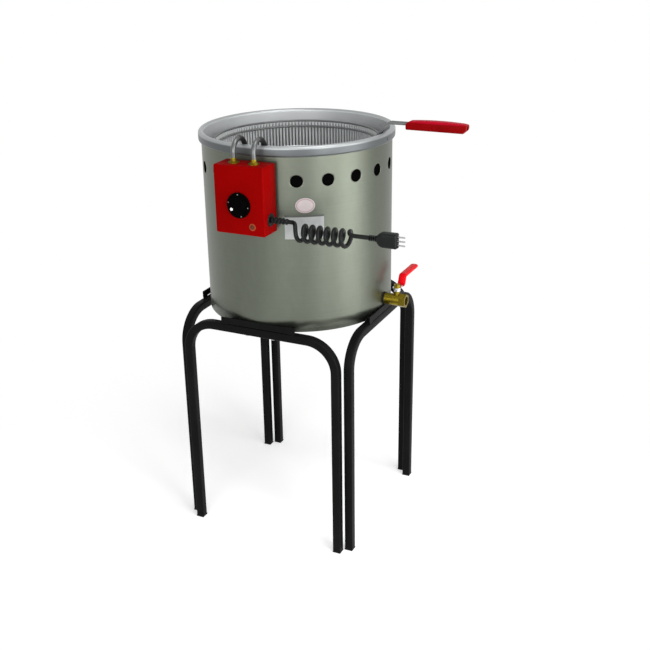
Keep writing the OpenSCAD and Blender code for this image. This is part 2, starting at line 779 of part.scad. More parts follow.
module lever_nut() {
    color([0.75, 0.65, 0.25]) translate([ball_x, 0, nut_z]) difference() {
        hex(lever_nut_af, lever_nut_h);
        translate([0, 0, -1]) cylinder(d = stem_d - 2 + 0.1, h = lever_nut_h + 2);
    }
}

// Basket
module basket_top_ring() { color([0.4, 0.42, 0.43]) translate([0, 0, ring_z]) ring(basket_r, ring_d); }
module basket_second_ring() { color([0.6, 0.62, 0.63]) translate([0, 0, ring2_z]) ring(ring2_r, ring_d); }
// wall of upright wires, closed at its foot
module basket_wall() {
    color([0.72, 0.74, 0.75]) difference() {
        translate([0, 0, basket_z]) tube(wall_out, wall_in, wall_top - basket_z);
        for (i = [0 : wire_n - 1]) rotate((i + 0.5) * 360 / wire_n)
            translate([wall_in - 1, -slot_w / 2, basket_z + basket_foot])
                cube([wire_d + 2, slot_w, wall_top - basket_z - basket_foot - 2]);
    }
}
module basket_floor() {
    r = wall_in - basket_fit;
    step = 2 * (r - 1.5 * floor_edge) / floor_slots;
    color([0.72, 0.74, 0.75]) translate([0, 0, basket_z]) difference() {
        cylinder(r = r, h = basket_floor_t);
        for (i = [0 : floor_slots - 1]) {
            y = (i - (floor_slots - 1) / 2) * step;
            half = sqrt(max(1, pow(r - floor_edge, 2) - pow(abs(y) + floor_slot_w / 2, 2)));
            for (s = [0, 1]) mirror([s, 0, 0]) translate([3, y - floor_slot_w / 2, -1])
                cube([max(1, half - 3), floor_slot_w, basket_floor_t + 2]);
        }
    }
}
// two bent wires: stay, lower bend, slope over the rim, upper bend, straight part into the grip
module basket_handle() {
    color([0.45, 0.47, 0.48]) for (s = [-1, 1]) translate([0, s * handle_gap / 2, 0]) {
        translate([stay_x, 0, bend1_z - stay_l]) run(handle_d, stay_l, 0);
        translate([stay_x + hb, 0, bend1_z]) rotate([90, 0, 0]) rotate(90 + hs) rotate_extrude(angle = 90 - hs)
            translate([hb, 0]) circle(d = handle_d + bend_over);
        translate([low_x, 0, low_z]) rotate([0, 90 - hs, 0]) run(handle_d, slope_l);
        translate([flat_x, 0, handle_z - hb]) rotate([90, 0, 0]) rotate(90) rotate_extrude(angle = hs)
            translate([hb, 0]) circle(d = handle_d + bend_over);
        translate([flat_x, 0, handle_z]) along_x() run(handle_d, grip_x + grip_in - flat_x, 1, 0);
    }
}
// grip: side outline with a sloping nose, rounded corners in plan
module handle_grip() {
    h = grip_h / 2;
    w = grip_w / 2;
    e = 5;
    color([0.65, 0.02, 0.05]) difference() {
        intersection() {
            translate([0, w, 0]) rotate([90, 0, 0]) linear_extrude(grip_w) polygon([
                [grip_x, grip_z - h + 1.5], [grip_x + 1.5, grip_z - h], [grip_x + grip_l - 6, grip_z - h],
                [grip_x + grip_l, grip_z - h + 8], [grip_x + grip_l, grip_z + h - 4],
                [grip_x + grip_l - 4, grip_z + h], [grip_x + 9, grip_z + h], [grip_x, grip_z + h - 5]]);
            translate([0, 0, grip_z - h - 1]) linear_extrude(grip_h + 2) polygon([
                [grip_x, -w + e], [grip_x + e, -w], [grip_x + grip_l - e, -w], [grip_x + grip_l, -w + e],
                [grip_x + grip_l, w - e], [grip_x + grip_l - e, w], [grip_x + e, w], [grip_x, w - e]]);
            translate([grip_x - 1, 0, grip_z]) rotate([90, 0, 90]) linear_extrude(grip_l + 2) polygon([
                [-w, -h + 5], [-w + 5, -h], [w - 5, -h], [w, -h + 5], [w, h - 5], [w - 5, h], [-w + 5, h], [-w, h - 5]]);
        }
        for (s = [-1, 1]) translate([grip_x - 1, s * handle_gap / 2, handle_z]) along_x()
            cylinder(d = handle_d + 2 * grip_fit, h = grip_in + 1 + grip_fit);
        translate([grip_x + grip_l - grip_hole_in, 0, grip_z]) along_x() cylinder(d = grip_hole, h = grip_hole_in + 1);
    }
}

// Control box; the box's own frame has its middle at x = heater_x
module box_outline(w, h, r) {
    translate([-w / 2 + r, 0]) square([w - 2 * r, h]);
    translate([-w / 2, r]) square([w, h - 2 * r]);
    for (x = [-w / 2 + r, w / 2 - r], y = [r, h - r]) translate([x, y]) circle(r = r, $fn = 32);
}
module posts() {
    for (s = [-1, 1], z = [box_z + box_wall, box_top - box_wall - post_w])
        translate([s * (box_w / 2 - box_wall - post_w / 2), 0, z + post_w / 2]) children();
}
module leg_places() { for (s = [-1, 1]) translate([heater_x + s * el_span / 2, -box_mid, 0]) children(); }
module control_box() {
    in_w = box_w - 2 * box_wall;
    in_h = box_h - 2 * box_wall;
    color([0.68, 0, 0.01]) difference() {
        translate([heater_x, 0, 0]) {
            difference() {
                translate([0, -box_back, box_z]) rotate([90, 0, 0]) linear_extrude(box_d) box_outline(box_w, box_h, box_round);
                translate([-in_w / 2, -box_front + box_wall, box_z + box_wall]) cube([in_w, box_d, in_h]);
            }
            posts() translate([0, -box_back - back_t - 0.1, 0]) to_front() difference() {
                translate([-post_w / 2, -post_w / 2, 0]) cube([post_w, post_w, box_d - box_wall - back_t - 0.1]);
                translate([0, 0, -1]) cylinder(d = screw_d + 0.1, h = screw_l + 1);
            }
        }
        leg_places() translate([0, 0, box_top - box_wall - 1]) cylinder(d = shank_d + 2 * el_fit, h = box_wall + 2);
        translate([heater_x, -box_front - 1, kz]) rotate([-90, 0, 0]) cylinder(d = bush_d + 0.2, h = box_wall + 2);
        translate([heater_x + lamp_x, -box_front - 1, box_z + lamp_z]) rotate([-90, 0, 0]) cylinder(d = lens_d + 0.2, h = box_wall + 2);
        translate([gland_x - box_wall - 1, cord_y, gz]) along_x() cylinder(d = gland_neck + 0.2, h = box_wall + 2);
    }
}
module box_back_plate() {
    w = box_w - 2 * box_wall - 2 * back_fit;
    h = box_h - 2 * box_wall - 2 * back_fit;
    color([0.6, 0.6, 0.6]) difference() {
        translate([heater_x - w / 2, -box_back - back_t, box_z + box_wall + back_fit]) cube([w, back_t, h]);
        translate([heater_x, 0, 0]) posts() translate([0, -box_back + 1, 0]) to_front() cylinder(d = screw_d + 0.2, h = back_t + 2);
    }
}
module box_screws() {
    color([0.7, 0.7, 0.7]) translate([heater_x, 0, 0]) posts() {
        translate([0, -box_back, 0]) to_front() cylinder(d = screw_d, h = screw_l);
        translate([0, -box_back + screw_head_h, 0]) to_front() cylinder(d = screw_head_d, h = screw_head_h);
    }
}
// thermostat behind the panel, with a bush that passes the panel
module thermostat() {
    color([0.3, 0.3, 0.32]) translate([heater_x, -box_front, kz]) difference() {
        union() {
            translate([-stat_w / 2, box_wall, -stat_h / 2]) cube([stat_w, stat_d, stat_h]);
            translate([0, box_wall, 0]) to_front() cylinder(d = bush_d, h = box_wall + knob_gap / 2);
        }
        translate([0, stat_d - 6, 0]) to_front() cylinder(d = shaft_d + 2 * run_fit, h = stat_d + 10);
    }
}
module knob_shaft() {
    color([0.75, 0.75, 0.75]) translate([heater_x, -box_front + stat_d - 7, kz])
        to_front() cylinder(d = shaft_d, h = stat_d - 7 + knob_gap + dial_t + knob_grip_h - 3);
}
module control_knob() {
    color([0.04, 0.04, 0.04]) translate([heater_x, -box_front - knob_gap, kz]) to_front() difference() {
        union() {
            cylinder(d = knob_d, h = dial_t);
            translate([0, 0, dial_t]) cylinder(d = knob_grip_d, h = knob_grip_h);
        }
        translate([0, 0, -1]) cylinder(d = shaft_d + 0.06, h = dial_t + knob_grip_h - 2);
    }
}
// light marks on the dial and the pointer on the grip
module knob_marks() {
    color([0.85, 0.85, 0.83]) translate([heater_x, -box_front - knob_gap - dial_t, kz]) to_front() {
        for (a = mark_a) rotate(a) translate([(knob_d + knob_grip_d) / 4, 0, 0]) cylinder(d = mark_d, h = 0.4);
        rotate(pointer_a) translate([knob_grip_d / 2 - pointer_in, 0, knob_grip_h]) cylinder(d = pointer_d, h = 0.5);
    }
}
module lamp_ring() {
    color([0.65, 0.5, 0.3]) translate([heater_x + lamp_x, -box_front, box_z + lamp_z]) to_front()
        tube(lamp_d / 2, lens_d / 2 + 0.1, lamp_t);
}
module lamp_lens() {
    color([0.75, 0.35, 0.05]) translate([heater_x + lamp_x, -box_front + lamp_l, box_z + lamp_z]) to_front() {
        cylinder(d = lens_d, h = lamp_l + lamp_t);
        translate([0, 0, lamp_l + lamp_t]) intersection() {
            sphere(d = lens_d);
            cylinder(d = lens_d + 2, h = lens_d);
        }
    }
}
module terminal_block() {
    color([0.9, 0.9, 0.86]) translate([heater_x - term_w / 2, -box_back - back_t - term_d, box_z + term_z]) cube([term_w, term_d, term_h]);
}

// Element: cold ends in the box, arches over the rim, legs down the pot, and one loop near its floor
module rod_arc(rad, turn, d) { rotate_extrude(angle = turn) translate([rad, 0]) circle(d = d); }
module heating_element() {
    ex = el_span / 2;
    by = -el_y + el_bend;
    bd = el_d + bend_over;
    // the loop reaches about 1 mm into the curves that lead into it
    more = 60 / loop_r;
    color([0.3, 0.3, 0.31]) translate([heater_x, 0, 0]) {
        for (s = [0, 1]) mirror([s, 0, 0]) {
            translate([ex, -box_mid, box_top - el_in]) run(el_d, arch_z - box_top + el_in, 0);
            translate([ex, -arch_y, arch_z]) rotate([90, 0, 90]) rod_arc(arch_r, 180, bd);
            translate([ex, -el_y, loop_z + el_bend]) run(el_d, arch_z - loop_z - el_bend);
            translate([ex, by, loop_z + el_bend]) rotate([90, 0, 90]) rotate(180) rod_arc(el_bend, 90, bd);
            translate([ex, by, loop_z]) rotate([-90, 0, 0]) run(el_d, -by - lead_y);
            translate([ex + loop_in_r, -lead_y, loop_z]) rotate(180 - lead_a) rod_arc(loop_in_r, lead_a, bd);
        }
        translate([0, 0, loop_z]) rotate(-lead_a - more) rod_arc(loop_r, 180 + 2 * lead_a + 2 * more, el_d);
    }
}
module element_fittings() {
    color([0.72, 0.6, 0.2]) leg_places() difference() {
        union() {
            translate([0, 0, box_top - shank_l]) cylinder(d = shank_d, h = shank_l);
            translate([0, 0, box_top]) cylinder(d = fit_d, h = fit_t);
            translate([0, 0, box_top + fit_t]) hex(fit_af, fit_h);
            translate([0, 0, box_top + fit_t + fit_h]) cylinder(d = el_d + 2 * fit_wall + 2 * el_fit, h = fit_up);
        }
        translate([0, 0, box_top - shank_l - 1]) cylinder(d = el_d + 2 * el_fit, h = shank_l + fit_t + fit_h + fit_up + 2);
    }
}
module fitting_nuts() {
    color([0.7, 0.6, 0.25]) leg_places() translate([0, 0, box_top - box_wall - fit_nut_t]) difference() {
        hex(shank_d + 6, fit_nut_t);
        translate([0, 0, -1]) cylinder(d = shank_d + 2 * el_fit, h = fit_nut_t + 2);
    }
}
// guard over the loop: a drilled plate on four legs, with clips that hold the loop
module guard_plate() {
    color([0.6, 0.6, 0.6]) translate([0, 0, guard_z]) difference() {
        cylinder(r = guard_r, h = guard_t);
        for (k = [1 : 3], i = [0 : 6 * k - 1]) rotate(i * 60 / k + 30 / k) translate([k * guard_hole * 1.8, 0, -1])
            cylinder(d = guard_hole, h = guard_t + 2);
    }
}
module guard_legs() {
    color([0.6, 0.6, 0.6]) for (a = [45 : 90 : 315]) rotate(a) translate([guard_leg_r, 0, floor_z + rest_fit])
        cylinder(d = guard_leg_d, h = guard_z - floor_z - rest_fit);
}
module loop_clips() {
    r = el_d / 2 + clip_fit;
    color([0.65, 0.65, 0.65]) for (a = [0 : 120 : 240]) translate([heater_x, 0, 0]) rotate(a) translate([loop_r, 0, loop_z]) difference() {
        translate([-r - clip_wall, -clip_w / 2, -r - clip_wall]) cube([2 * r + 2 * clip_wall, clip_w, r + clip_wall + guard_up]);
        rotate([90, 0, 0]) cylinder(r = r, h = clip_w + 2, center = true);
    }
}

// Cord and plug
module cord_gland() {
    rib = boot_l / (boot_n * 2);
    color([0.2, 0.22, 0.2]) translate([gland_x, cord_y, gz]) along_x() {
        translate([0, 0, -gland_in]) cylinder(d = gland_neck, h = gland_in);
        cylinder(d = gland_d, h = gland_t);
        translate([0, 0, gland_t]) for (i = [0 : boot_n - 1]) {
            taper = (gland_neck - cord_d - 2) * i / boot_n;
            translate([0, 0, 2 * i * rib]) cylinder(d = gland_neck - taper, h = rib);
            translate([0, 0, (2 * i + 1) * rib]) cylinder(d = cord_d + 1.2, h = rib);
        }
    }
}
// centre line of the cord: it leaves the boot along +X a little above the curls, turns down on the
// control side, winds through the curls and leaves them along +X
function curl_p(x, a, more = 0) = [x, cord_y - (curl_r + more) * sin(a), curl_z + (curl_r + more) * cos(a)];
lead_n = 5;
// quarter turn in: the turning speeds up while the forward run slows down to the curls' own
lead_pts = [for (i = [0 : lead_n - 1]) let (u = i / lead_n)
    curl_p(cord_x + cord_d + lead_run * u + (curl_pitch / 2 - lead_run) * u * u / 2, 90 * u * u,
        curl_drop * (1 - u * u * (3 - 2 * u)))];
curl_x0 = cord_x + cord_d + lead_run / 2 + curl_pitch / 4;
curl_sweep = curls * 360 - 90;
curl_n = ceil(curl_sweep / 360 * curl_steps);
curl_pts = [for (i = [0 : curl_n]) let (a = 90 + curl_sweep * i / curl_n) curl_p(curl_x0 + curl_pitch * (a - 90) / 360, a)];
// last part turn out: the turning slows down while the forward run speeds up
out_x0 = curl_x0 + curl_pitch * curl_sweep / 360;
out_pts = [for (i = [1 : lead_n]) let (u = i / lead_n, v = 1 - u)
    curl_p(out_x0 + curl_pitch * end_turn / 180 * u + lead_run / 2 * u * u, end_turn * (1 - v * v))];
out_end = out_pts[lead_n - 1];
plug_x = out_end[0] + cord_out;
cord_path = concat([[cord_x, cord_y, gz]], lead_pts, curl_pts, out_pts,
    [for (i = [1 : 4]) out_end + [cord_out * i / 4, 0, 0]]);
function unit(v) = v / norm(v);
function along(p, i) = i == 0 ? [1, 0, 0] : i == len(p) - 1 ? [1, 0, 0] : unit(p[i + 1] - p[i - 1]);
function slide_frame(p, i, n) = let (t = along(p, i), m = n - t * (n * t)) unit(m);
function frames(p, i, n, out) = i == len(p) ? out : let (m = slide_frame(p, i, n)) frames(p, i + 1, m, concat(out, [m]));
cord_sides = 6;
cord_frames = frames(cord_path, 0, [0, 0, 1], []);
cord_rings = [for (i = [0 : len(cord_path) - 1], k = [0 : cord_sides - 1])
    let (t = along(cord_path, i), n = cord_frames[i], b = cross(t, n), a = k * 360 / cord_sides)
    cord_path[i] + (n * cos(a) + b * sin(a)) * cord_d / 2];
cord_faces = concat(
    [for (i = [0 : len(cord_path) - 2], k = [0 : cord_sides - 1], h = [0, 1])
        let (k2 = (k + 1) % cord_sides, a = i * cord_sides, b = a + cord_sides)
        h == 0 ? [a + k, b + k, b + k2] : [a + k, b + k2, a + k2]],
    [for (k = [1 : cord_sides - 2]) [0, k, k + 1]],
    [for (k = [1 : cord_sides - 2]) let (e = (len(cord_path) - 1) * cord_sides) [e, e + k + 1, e + k]]);
cord_len = [for (i = [1 : len(cord_path) - 1]) norm(cord_path[i] - cord_path[i - 1])];
function total(v, i = 0) = i == len(v) ? 0 : v[i] + total(v, i + 1);
// least gap between stretches that lie at least half a curl apart along the cord
cord_gap = min([for (i = [0 : len(cord_path) - 1], j = [i + curl_steps / 2 : 1 : len(cord_path) - 1])
    norm(cord_path[i] - cord_path[j])]) - cord_d;
echo(cord_length = total(cord_len), cord_least_gap = cord_gap, cord_end = out_end);
module power_cord() { color([0.2, 0.22, 0.2]) polyhedron(cord_rings, cord_faces); }
// plug: a boot, then a body that widens to the pins
module plug_body() {
    b = plug_boot;
    rib = b / 8;
    color([0.2, 0.22, 0.2]) translate(out_end + [cord_out, 0, 0]) {
        along_x() for (i = [0 : 3]) {
            translate([0, 0, 2 * i * rib]) cylinder(d = cord_d + 1.2, h = rib);
            translate([0, 0, (2 * i + 1) * rib]) cylinder(d = cord_d + 3, h = rib);
        }
        translate([b, plug_w / 2, 0]) rotate([90, 0, 0]) intersection() {
            linear_extrude(plug_w) polygon([[0, -6], [plug_l * 0.3, -plug_h / 2 + 1.5], [plug_l * 0.8, -plug_h / 2],
                [plug_l, -plug_h / 2], [plug_l, plug_h / 2], [plug_l * 0.8, plug_h / 2], [plug_l * 0.3, plug_h / 2 - 1.5], [0, 6]]);
            rotate([-90, 0, 0]) translate([0, -plug_w, -plug_h]) linear_extrude(2 * plug_h) polygon([[0, plug_w / 2 - 6],
                [plug_l * 0.35, 0], [plug_l, 0], [plug_l, plug_w], [plug_l * 0.35, plug_w], [0, plug_w / 2 + 6]]);
        }
    }
}
module plug_pins() {
    color([0.8, 0.8, 0.8]) translate(out_end + [cord_out + plug_boot + plug_l, 0, 0]) for (k = [-1 : 1])
        translate([0, 0, k * pin_step]) along_x() cylinder(d = pin_d, h = pin_l);
}

front_frame();
right_frame();
back_frame();
left_frame();
foot_plugs();
guide_strips();
stand_bolts();
stand_nuts();
drum_base();
drum_jacket();
insulation_wrap();
inner_pot();
rim_rivets();
badge_plate();
rating_plate();
drain_gasket();
drain_nipple();
drain_lock_nut();
valve_body();
valve_end();
valve_seats();
packing_nut();
valve_ball();
valve_stem();
valve_lever();
lever_sleeve();
lever_nut();
basket_top_ring();
basket_second_ring();
basket_wall();
basket_floor();
basket_handle();
handle_grip();
control_box();
box_back_plate();
box_screws();
thermostat();
knob_shaft();
control_knob();
knob_marks();
lamp_ring();
lamp_lens();
terminal_block();
heating_element();
element_fittings();
fitting_nuts();
guard_plate();
guard_legs();
loop_clips();
cord_gland();
power_cord();
plug_body();
plug_pins();
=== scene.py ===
import json

import bmesh
import bpy
import numpy as np
from mathutils import Matrix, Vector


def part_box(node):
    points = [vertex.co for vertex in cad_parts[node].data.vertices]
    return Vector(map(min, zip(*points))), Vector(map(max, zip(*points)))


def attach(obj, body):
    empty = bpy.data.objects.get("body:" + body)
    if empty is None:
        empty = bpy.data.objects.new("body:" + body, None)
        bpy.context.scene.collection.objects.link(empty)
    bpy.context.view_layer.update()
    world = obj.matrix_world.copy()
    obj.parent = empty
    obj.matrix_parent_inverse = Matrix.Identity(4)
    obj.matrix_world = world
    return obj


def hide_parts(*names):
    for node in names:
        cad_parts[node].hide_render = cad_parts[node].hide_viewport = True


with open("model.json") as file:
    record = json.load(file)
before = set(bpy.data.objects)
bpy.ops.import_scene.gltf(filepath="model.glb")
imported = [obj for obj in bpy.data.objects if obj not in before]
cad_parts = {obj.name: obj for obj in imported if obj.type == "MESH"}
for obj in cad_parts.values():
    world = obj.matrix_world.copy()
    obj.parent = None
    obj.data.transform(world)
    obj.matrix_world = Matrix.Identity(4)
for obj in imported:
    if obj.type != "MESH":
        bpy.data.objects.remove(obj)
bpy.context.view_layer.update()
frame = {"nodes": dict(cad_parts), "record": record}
nodes = frame["nodes"]
scene = bpy.context.scene
scene.view_settings.view_transform = "Standard"


def addObject(name, data):
    made = bpy.data.objects.new(name, data)
    scene.collection.objects.link(made)
    return made


# a camera or lamp at its place, turned to its right, up and back directions
def aimObject(made, right, up, back, place):
    turn = np.eye(4)
    turn[:3] = np.column_stack([right, up, back, place])
    made.matrix_world = Matrix(turn.tolist())


# camera at the photograph's place: back follows azimuth and elevation, right and up are turned by the roll
photoCamera = dict(azimuth=26.934, elevation=22.269, roll=-1.44, place=(0.9570, -1.8835, 1.2984),
                   lens=55.98, sensor=36.0, shiftX=0.0360, farClip=50.0)


def makeCamera(v):
    az, el, roll = np.radians([v["azimuth"], v["elevation"], v["roll"]])
    right = np.array([np.cos(az), np.sin(az), 0.0])
    back = np.array([np.sin(az) * np.cos(el), -np.cos(az) * np.cos(el), np.sin(el)])
    up = np.cross(back, right)
    rolledRight = np.cos(roll) * right + np.sin(roll) * up
    rolledUp = np.cos(roll) * up - np.sin(roll) * right
    data = bpy.data.cameras.new("photoCamera")
    data.lens, data.sensor_width, data.shift_x = v["lens"], v["sensor"], v["shiftX"]
    data.clip_end = v["farClip"]
    scene.camera = addObject("photoCamera", data)
    aimObject(scene.camera, rolledRight, rolledUp, back, v["place"])


makeCamera(photoCamera)
print("camera placed")


# a socket that can be used in sums: each operator adds one Math node
class Sock:
    def __init__(self, paint, socket):
        self.paint, self.socket = paint, socket

    def __add__(self, other):
        return self.paint.maths("ADD", self, other)

    def __radd__(self, other):
        return self.paint.maths("ADD", other, self)

    def __sub__(self, other):
        return self.paint.maths("SUBTRACT", self, other)

    def __rsub__(self, other):
        return self.paint.maths("SUBTRACT", other, self)

    def __mul__(self, other):
        return self.paint.maths("MULTIPLY", self, other)

    def __truediv__(self, other):
        return self.paint.maths("DIVIDE", self, other)

    def __pow__(self, other):
        return self.paint.maths("POWER", self, other)

    def orMore(self, other):  # the larger of the two
        return self.paint.maths("MAXIMUM", self, other)

    def step(self, low, high):  # 0 below low, 1 above high, smooth between
        return self.paint.add("ShaderNodeMapRange", dict(interpolation_type="SMOOTHSTEP"),
                              {"Value": self, "From Min": low, "From Max": high})

    def out(self, name):
        return Sock(self.paint, self.socket.node.outputs[name])


# one material: a Principled shader and what feeds it
class Paint:
    def __init__(self, name, **fixed):
        self.material = bpy.data.materials.new(name)
        self.material.use_nodes = True
        self.tree = self.material.node_tree
        self.tree.nodes.clear()
        shader = self.add("ShaderNodeBsdfPrincipled", {}, fixed)
        self.shader = shader.socket.node
        self.add("ShaderNodeOutputMaterial", {}, {"Surface": shader})
        self.place = self.add("ShaderNodeTexCoord").out("Object")
        axes = self.add("ShaderNodeSeparateXYZ", {}, {0: self.place})
        self.x, self.y, self.z = axes.out("X"), axes.out("Y"), axes.out("Z")

    def add(self, kind, settings=None, sockets=None):
        node = self.tree.nodes.new(kind)
        for key, value in (settings or {}).items():
            setattr(node, key, value)
        for key, value in (sockets or {}).items():
            if isinstance(value, Sock):
                self.tree.links.new(value.socket, node.inputs[key])
            else:
                node.inputs[key].default_value = value
        return Sock(self, node.outputs[0]) if node.outputs else None

    def maths(self, operation, *values):
        return self.add("ShaderNodeMath", dict(operation=operation), dict(enumerate(values)))

    def feed(self, **links):
        for key, value in links.items():
            self.tree.links.new(value.socket, self.shader.inputs[key.replace("_", " ")])
        return self

    def noise(self, scale, detail=2.0, stretch=(1, 1, 1), rough=0.5):
        place = self.add("ShaderNodeMapping", {}, {"Vector": self.place, "Scale": stretch})
        return self.add("ShaderNodeTexNoise", {}, {"Vector": place, "Scale": scale, "Detail": detail,
                                                   "Roughness": rough})

    def fromAxis(self):  # distance from the drum's upright axis
        return (self.x ** 2.0 + self.y ** 2.0) ** 0.5

    def blend(self, factor, first, second):  # colours, mixed
        mix = self.add("ShaderNodeMix", dict(data_type="RGBA"), {0: factor, 6: first, 7: second})
        return mix.out(2)

    def relief(self, height, distance, strength=1.0):
        bump = self.add("ShaderNodeBump", {}, {"Height": height, "Distance": distance, "Strength": strength})
        return self.feed(Normal=bump)


def tint(r, g, b):
    return (r, g, b, 1.0)


def shade(colour, times):
    return tint(*(min(1.0, c * times) for c in colour[:3]))


# turned or cast metal with darker grime in the lows and small nicks
def turnedMetal(name, colour, rough, grime=0.35):
    paint = Paint(name, Metallic=1.0)
    cloud = paint.noise(56.0, 4.0, rough=0.6)
    fine = paint.noise(1440.0, 2.0)
    nick = paint.noise(352.0, 1.0).step(0.66, 0.74)
    dirty = cloud.step(0.48, 0.72) * grime
    base = paint.blend(dirty, shade(colour, 1.06), shade(colour, 0.5))
    paint.feed(Base_Color=paint.blend(nick * 0.35, base, shade(colour, 1.3)),
               Roughness=rough + dirty * 0.25 + fine * 0.06)
    return paint.relief(fine * 0.6 + nick * -0.4, 0.00005, 0.5)


# moulded plastic or rubber: very fine grain, slightly uneven gloss, pale rub marks; on request a painted
# highlight, a lighter colour above a height for the light that falls on the top
def mouldedPlastic(name, colour, rough, grain=1800.0, rub=0.12, shine=0.25, litTop=None):
    paint = Paint(name, **{"Specular IOR Level": shine})
    fine = paint.noise(grain, 2.0)
    cloud = paint.noise(28.0, 3.0)
    worn = paint.noise(130.0, 5.0, rough=0.7).step(0.58, 0.8)
    base = paint.blend(cloud.step(0.3, 0.7), shade(colour, 0.9), shade(colour, 1.1))
    if litTop:  # painted highlight: a height and the lighter colour painted above it, for the lit top
        height, litColour = litTop
        base = paint.blend(paint.z.step(height - 0.002, height + 0.002), base, litColour)
    pale = tint(*(c + 0.05 for c in colour[:3]))
    paint.feed(Base_Color=paint.blend(worn * rub, base, pale),
               Roughness=rough - 0.04 + cloud * 0.08 + worn * 0.06)
    return paint.relief(fine, 0.00004, 0.6)


# sprayed paint: orange peel, a little unevenness, a few dull spots
def sprayedPaint(name, colour, rough, shine):
    paint = Paint(name, **{"Specular IOR Level": shine})
    peel = paint.noise(420.0, 2.0)
    cloud = paint.noise(14.0, 3.0)
    dull = paint.noise(60.0, 5.0, rough=0.65).step(0.55, 0.8)
    paint.feed(Base_Color=paint.blend(cloud.step(0.3, 0.7), shade(colour, 0.94), shade(colour, 1.06)),
               Roughness=rough + dull * 0.10 + peel * 0.05)
    return paint.relief(peel, 0.00006, 0.5)


# nearly black coat with a fine peel, rubbed spots and a little dust
def blackPowderCoat():
    black, rubbed = tint(0.0045, 0.0045, 0.0048), tint(0.05, 0.05, 0.048)
    paint = Paint("standPowderCoat", **{"Specular IOR Level": 0.05})
    peel = paint.noise(900.0, 3.0)
    cloud = paint.noise(11.0, 4.0)
    scuff = paint.noise(75.0, 6.0, (1, 1, 0.4), 0.7).step(0.62, 0.82)
    dust = paint.noise(33.0, 4.0).step(0.5, 0.85)
    base = paint.blend(cloud.step(0.3, 0.7), shade(black, 0.8), shade(black, 1.35))
    paint.feed(Base_Color=paint.blend(scuff * 0.14 + dust * 0.04, base, rubbed),
               Roughness=0.40 + peel * 0.10 + scuff * 0.10)
    return paint.relief(peel, 0.00010, 0.6)


# rolled sheet: fine level lines, broad soft bands, a few oily patches
def jacketSteel():
    steel, straw = tint(0.134, 0.147, 0.119), tint(0.15, 0.135, 0.09)
    paint = Paint("jacketRolledSteel", Metallic=1.0)
    fine = paint.noise(1.0, 3.0, (5, 5, 1500), 0.6)
    broad = paint.noise(1.0, 2.0, (9, 9, 1.2))
    mottle = paint.noise(70.0, 4.0, (1, 1, 0.5), 0.65)
    tone = fine * 0.4 + broad * 0.35 + mottle * 0.25
    oily = paint.noise(16.0, 4.0, (1, 1, 0.35)).step(0.5, 0.8)
    hot = paint.z.step(0.80, 0.872) * mottle.step(0.42, 0.7)  # faint straw tint under the rim
    base = paint.blend(tone.step(0.3, 0.7), shade(steel, 0.9), shade(steel, 1.1))
    paint.feed(Base_Color=paint.blend(hot * 0.18, base, straw), Roughness=0.37 + fine * 0.07 + oily * 0.05)
    return paint.relief(fine, 0.00002, 0.4)


# spun pot: one aluminium in lit and shaded copies, the inside bright as painted light, the roll greyer and
# the skirt dull as painted shade, a painted shadow on the wall behind the basket, and an oil stain below the
# oil line
def potAluminium():
    # three painted tones of one metal: the lit inside in painted light, the roll and the outward-facing skirt
    # in painted shade; then a near-black tone for painted shadow
    bright, rolled, dull = tint(0.60, 0.617, 0.626), tint(0.35, 0.365, 0.37), tint(0.105, 0.114, 0.118)
    shadowed, streak, oiled = tint(0.060, 0.063, 0.064), tint(0.12, 0.12, 0.12), tint(0.20, 0.17, 0.12)
    paint = Paint("potSpunAluminium")
    spun = paint.noise(1.0, 3.0, (4, 4, 1800), 0.6)
    cloud = paint.noise(12.0, 4.0)
    radius = paint.fromAxis()
    inside = 1.0 - radius.step(0.1938, 0.1956)
    oil = inside * (1.0 - paint.z.step(0.62, 0.72)) * (0.5 + cloud * 0.5)
    # the skirt faces out and down, so it is painted in shade
    skirt = radius.step(0.2030, 0.2052) * (1.0 - paint.z.step(0.8765, 0.8805))
    # painted shadow: the inner wall below the basket's ring, behind the wires, is painted dark
    behind = inside * (1.0 - paint.z.step(0.845, 0.853))
    metal = paint.blend(skirt, paint.blend(inside, rolled, bright), dull)
    metal = paint.blend(behind * (0.62 + cloud * 0.15), metal, shadowed)
    base = paint.blend((spun * 0.6 + cloud * 0.4).step(0.3, 0.7) * 0.14, metal, streak)
    paint.feed(Base_Color=paint.blend(oil * 0.3, base, oiled), Metallic=0.75 - inside * 0.4,
               Roughness=0.36 + spun * 0.08 + oil * 0.08)
    return paint.relief(spun, 0.00002, 0.35)


# light drawn wires; the rings and the handle are darker, the handle's darkness being painted shade, and the
# inner face of the second ring's band is darkened as painted shade
def basketWire():
    paint = Paint("basketWire", Metallic=0.35)
    fine = paint.noise(420.0, 3.0)
    cloud = paint.noise(45.0, 3.0)
    upper = paint.z.step(0.8587, 0.8592)
    band = paint.z.step(0.8462, 0.8468) * (1.0 - paint.z.step(0.8512, 0.8518))
    # painted shade on the handle and on the inner face of the second ring's band; the top ring is darker
    # along with them
    dark = upper.orMore(band * (1.0 - paint.fromAxis().step(0.1713, 0.1715)))
    tone = (fine * 0.5 + cloud * 0.5).step(0.3, 0.7)
    light = paint.blend(tone, tint(0.73, 0.74, 0.745), tint(0.82, 0.83, 0.835))
    dim = paint.blend(tone, tint(0.110, 0.116, 0.115), tint(0.160, 0.167, 0.165))
    paint.feed(Base_Color=paint.blend(dark, light, dim), Roughness=0.28 + fine * 0.08 + cloud * 0.05)
    return paint.relief(fine, 0.00003, 0.4)


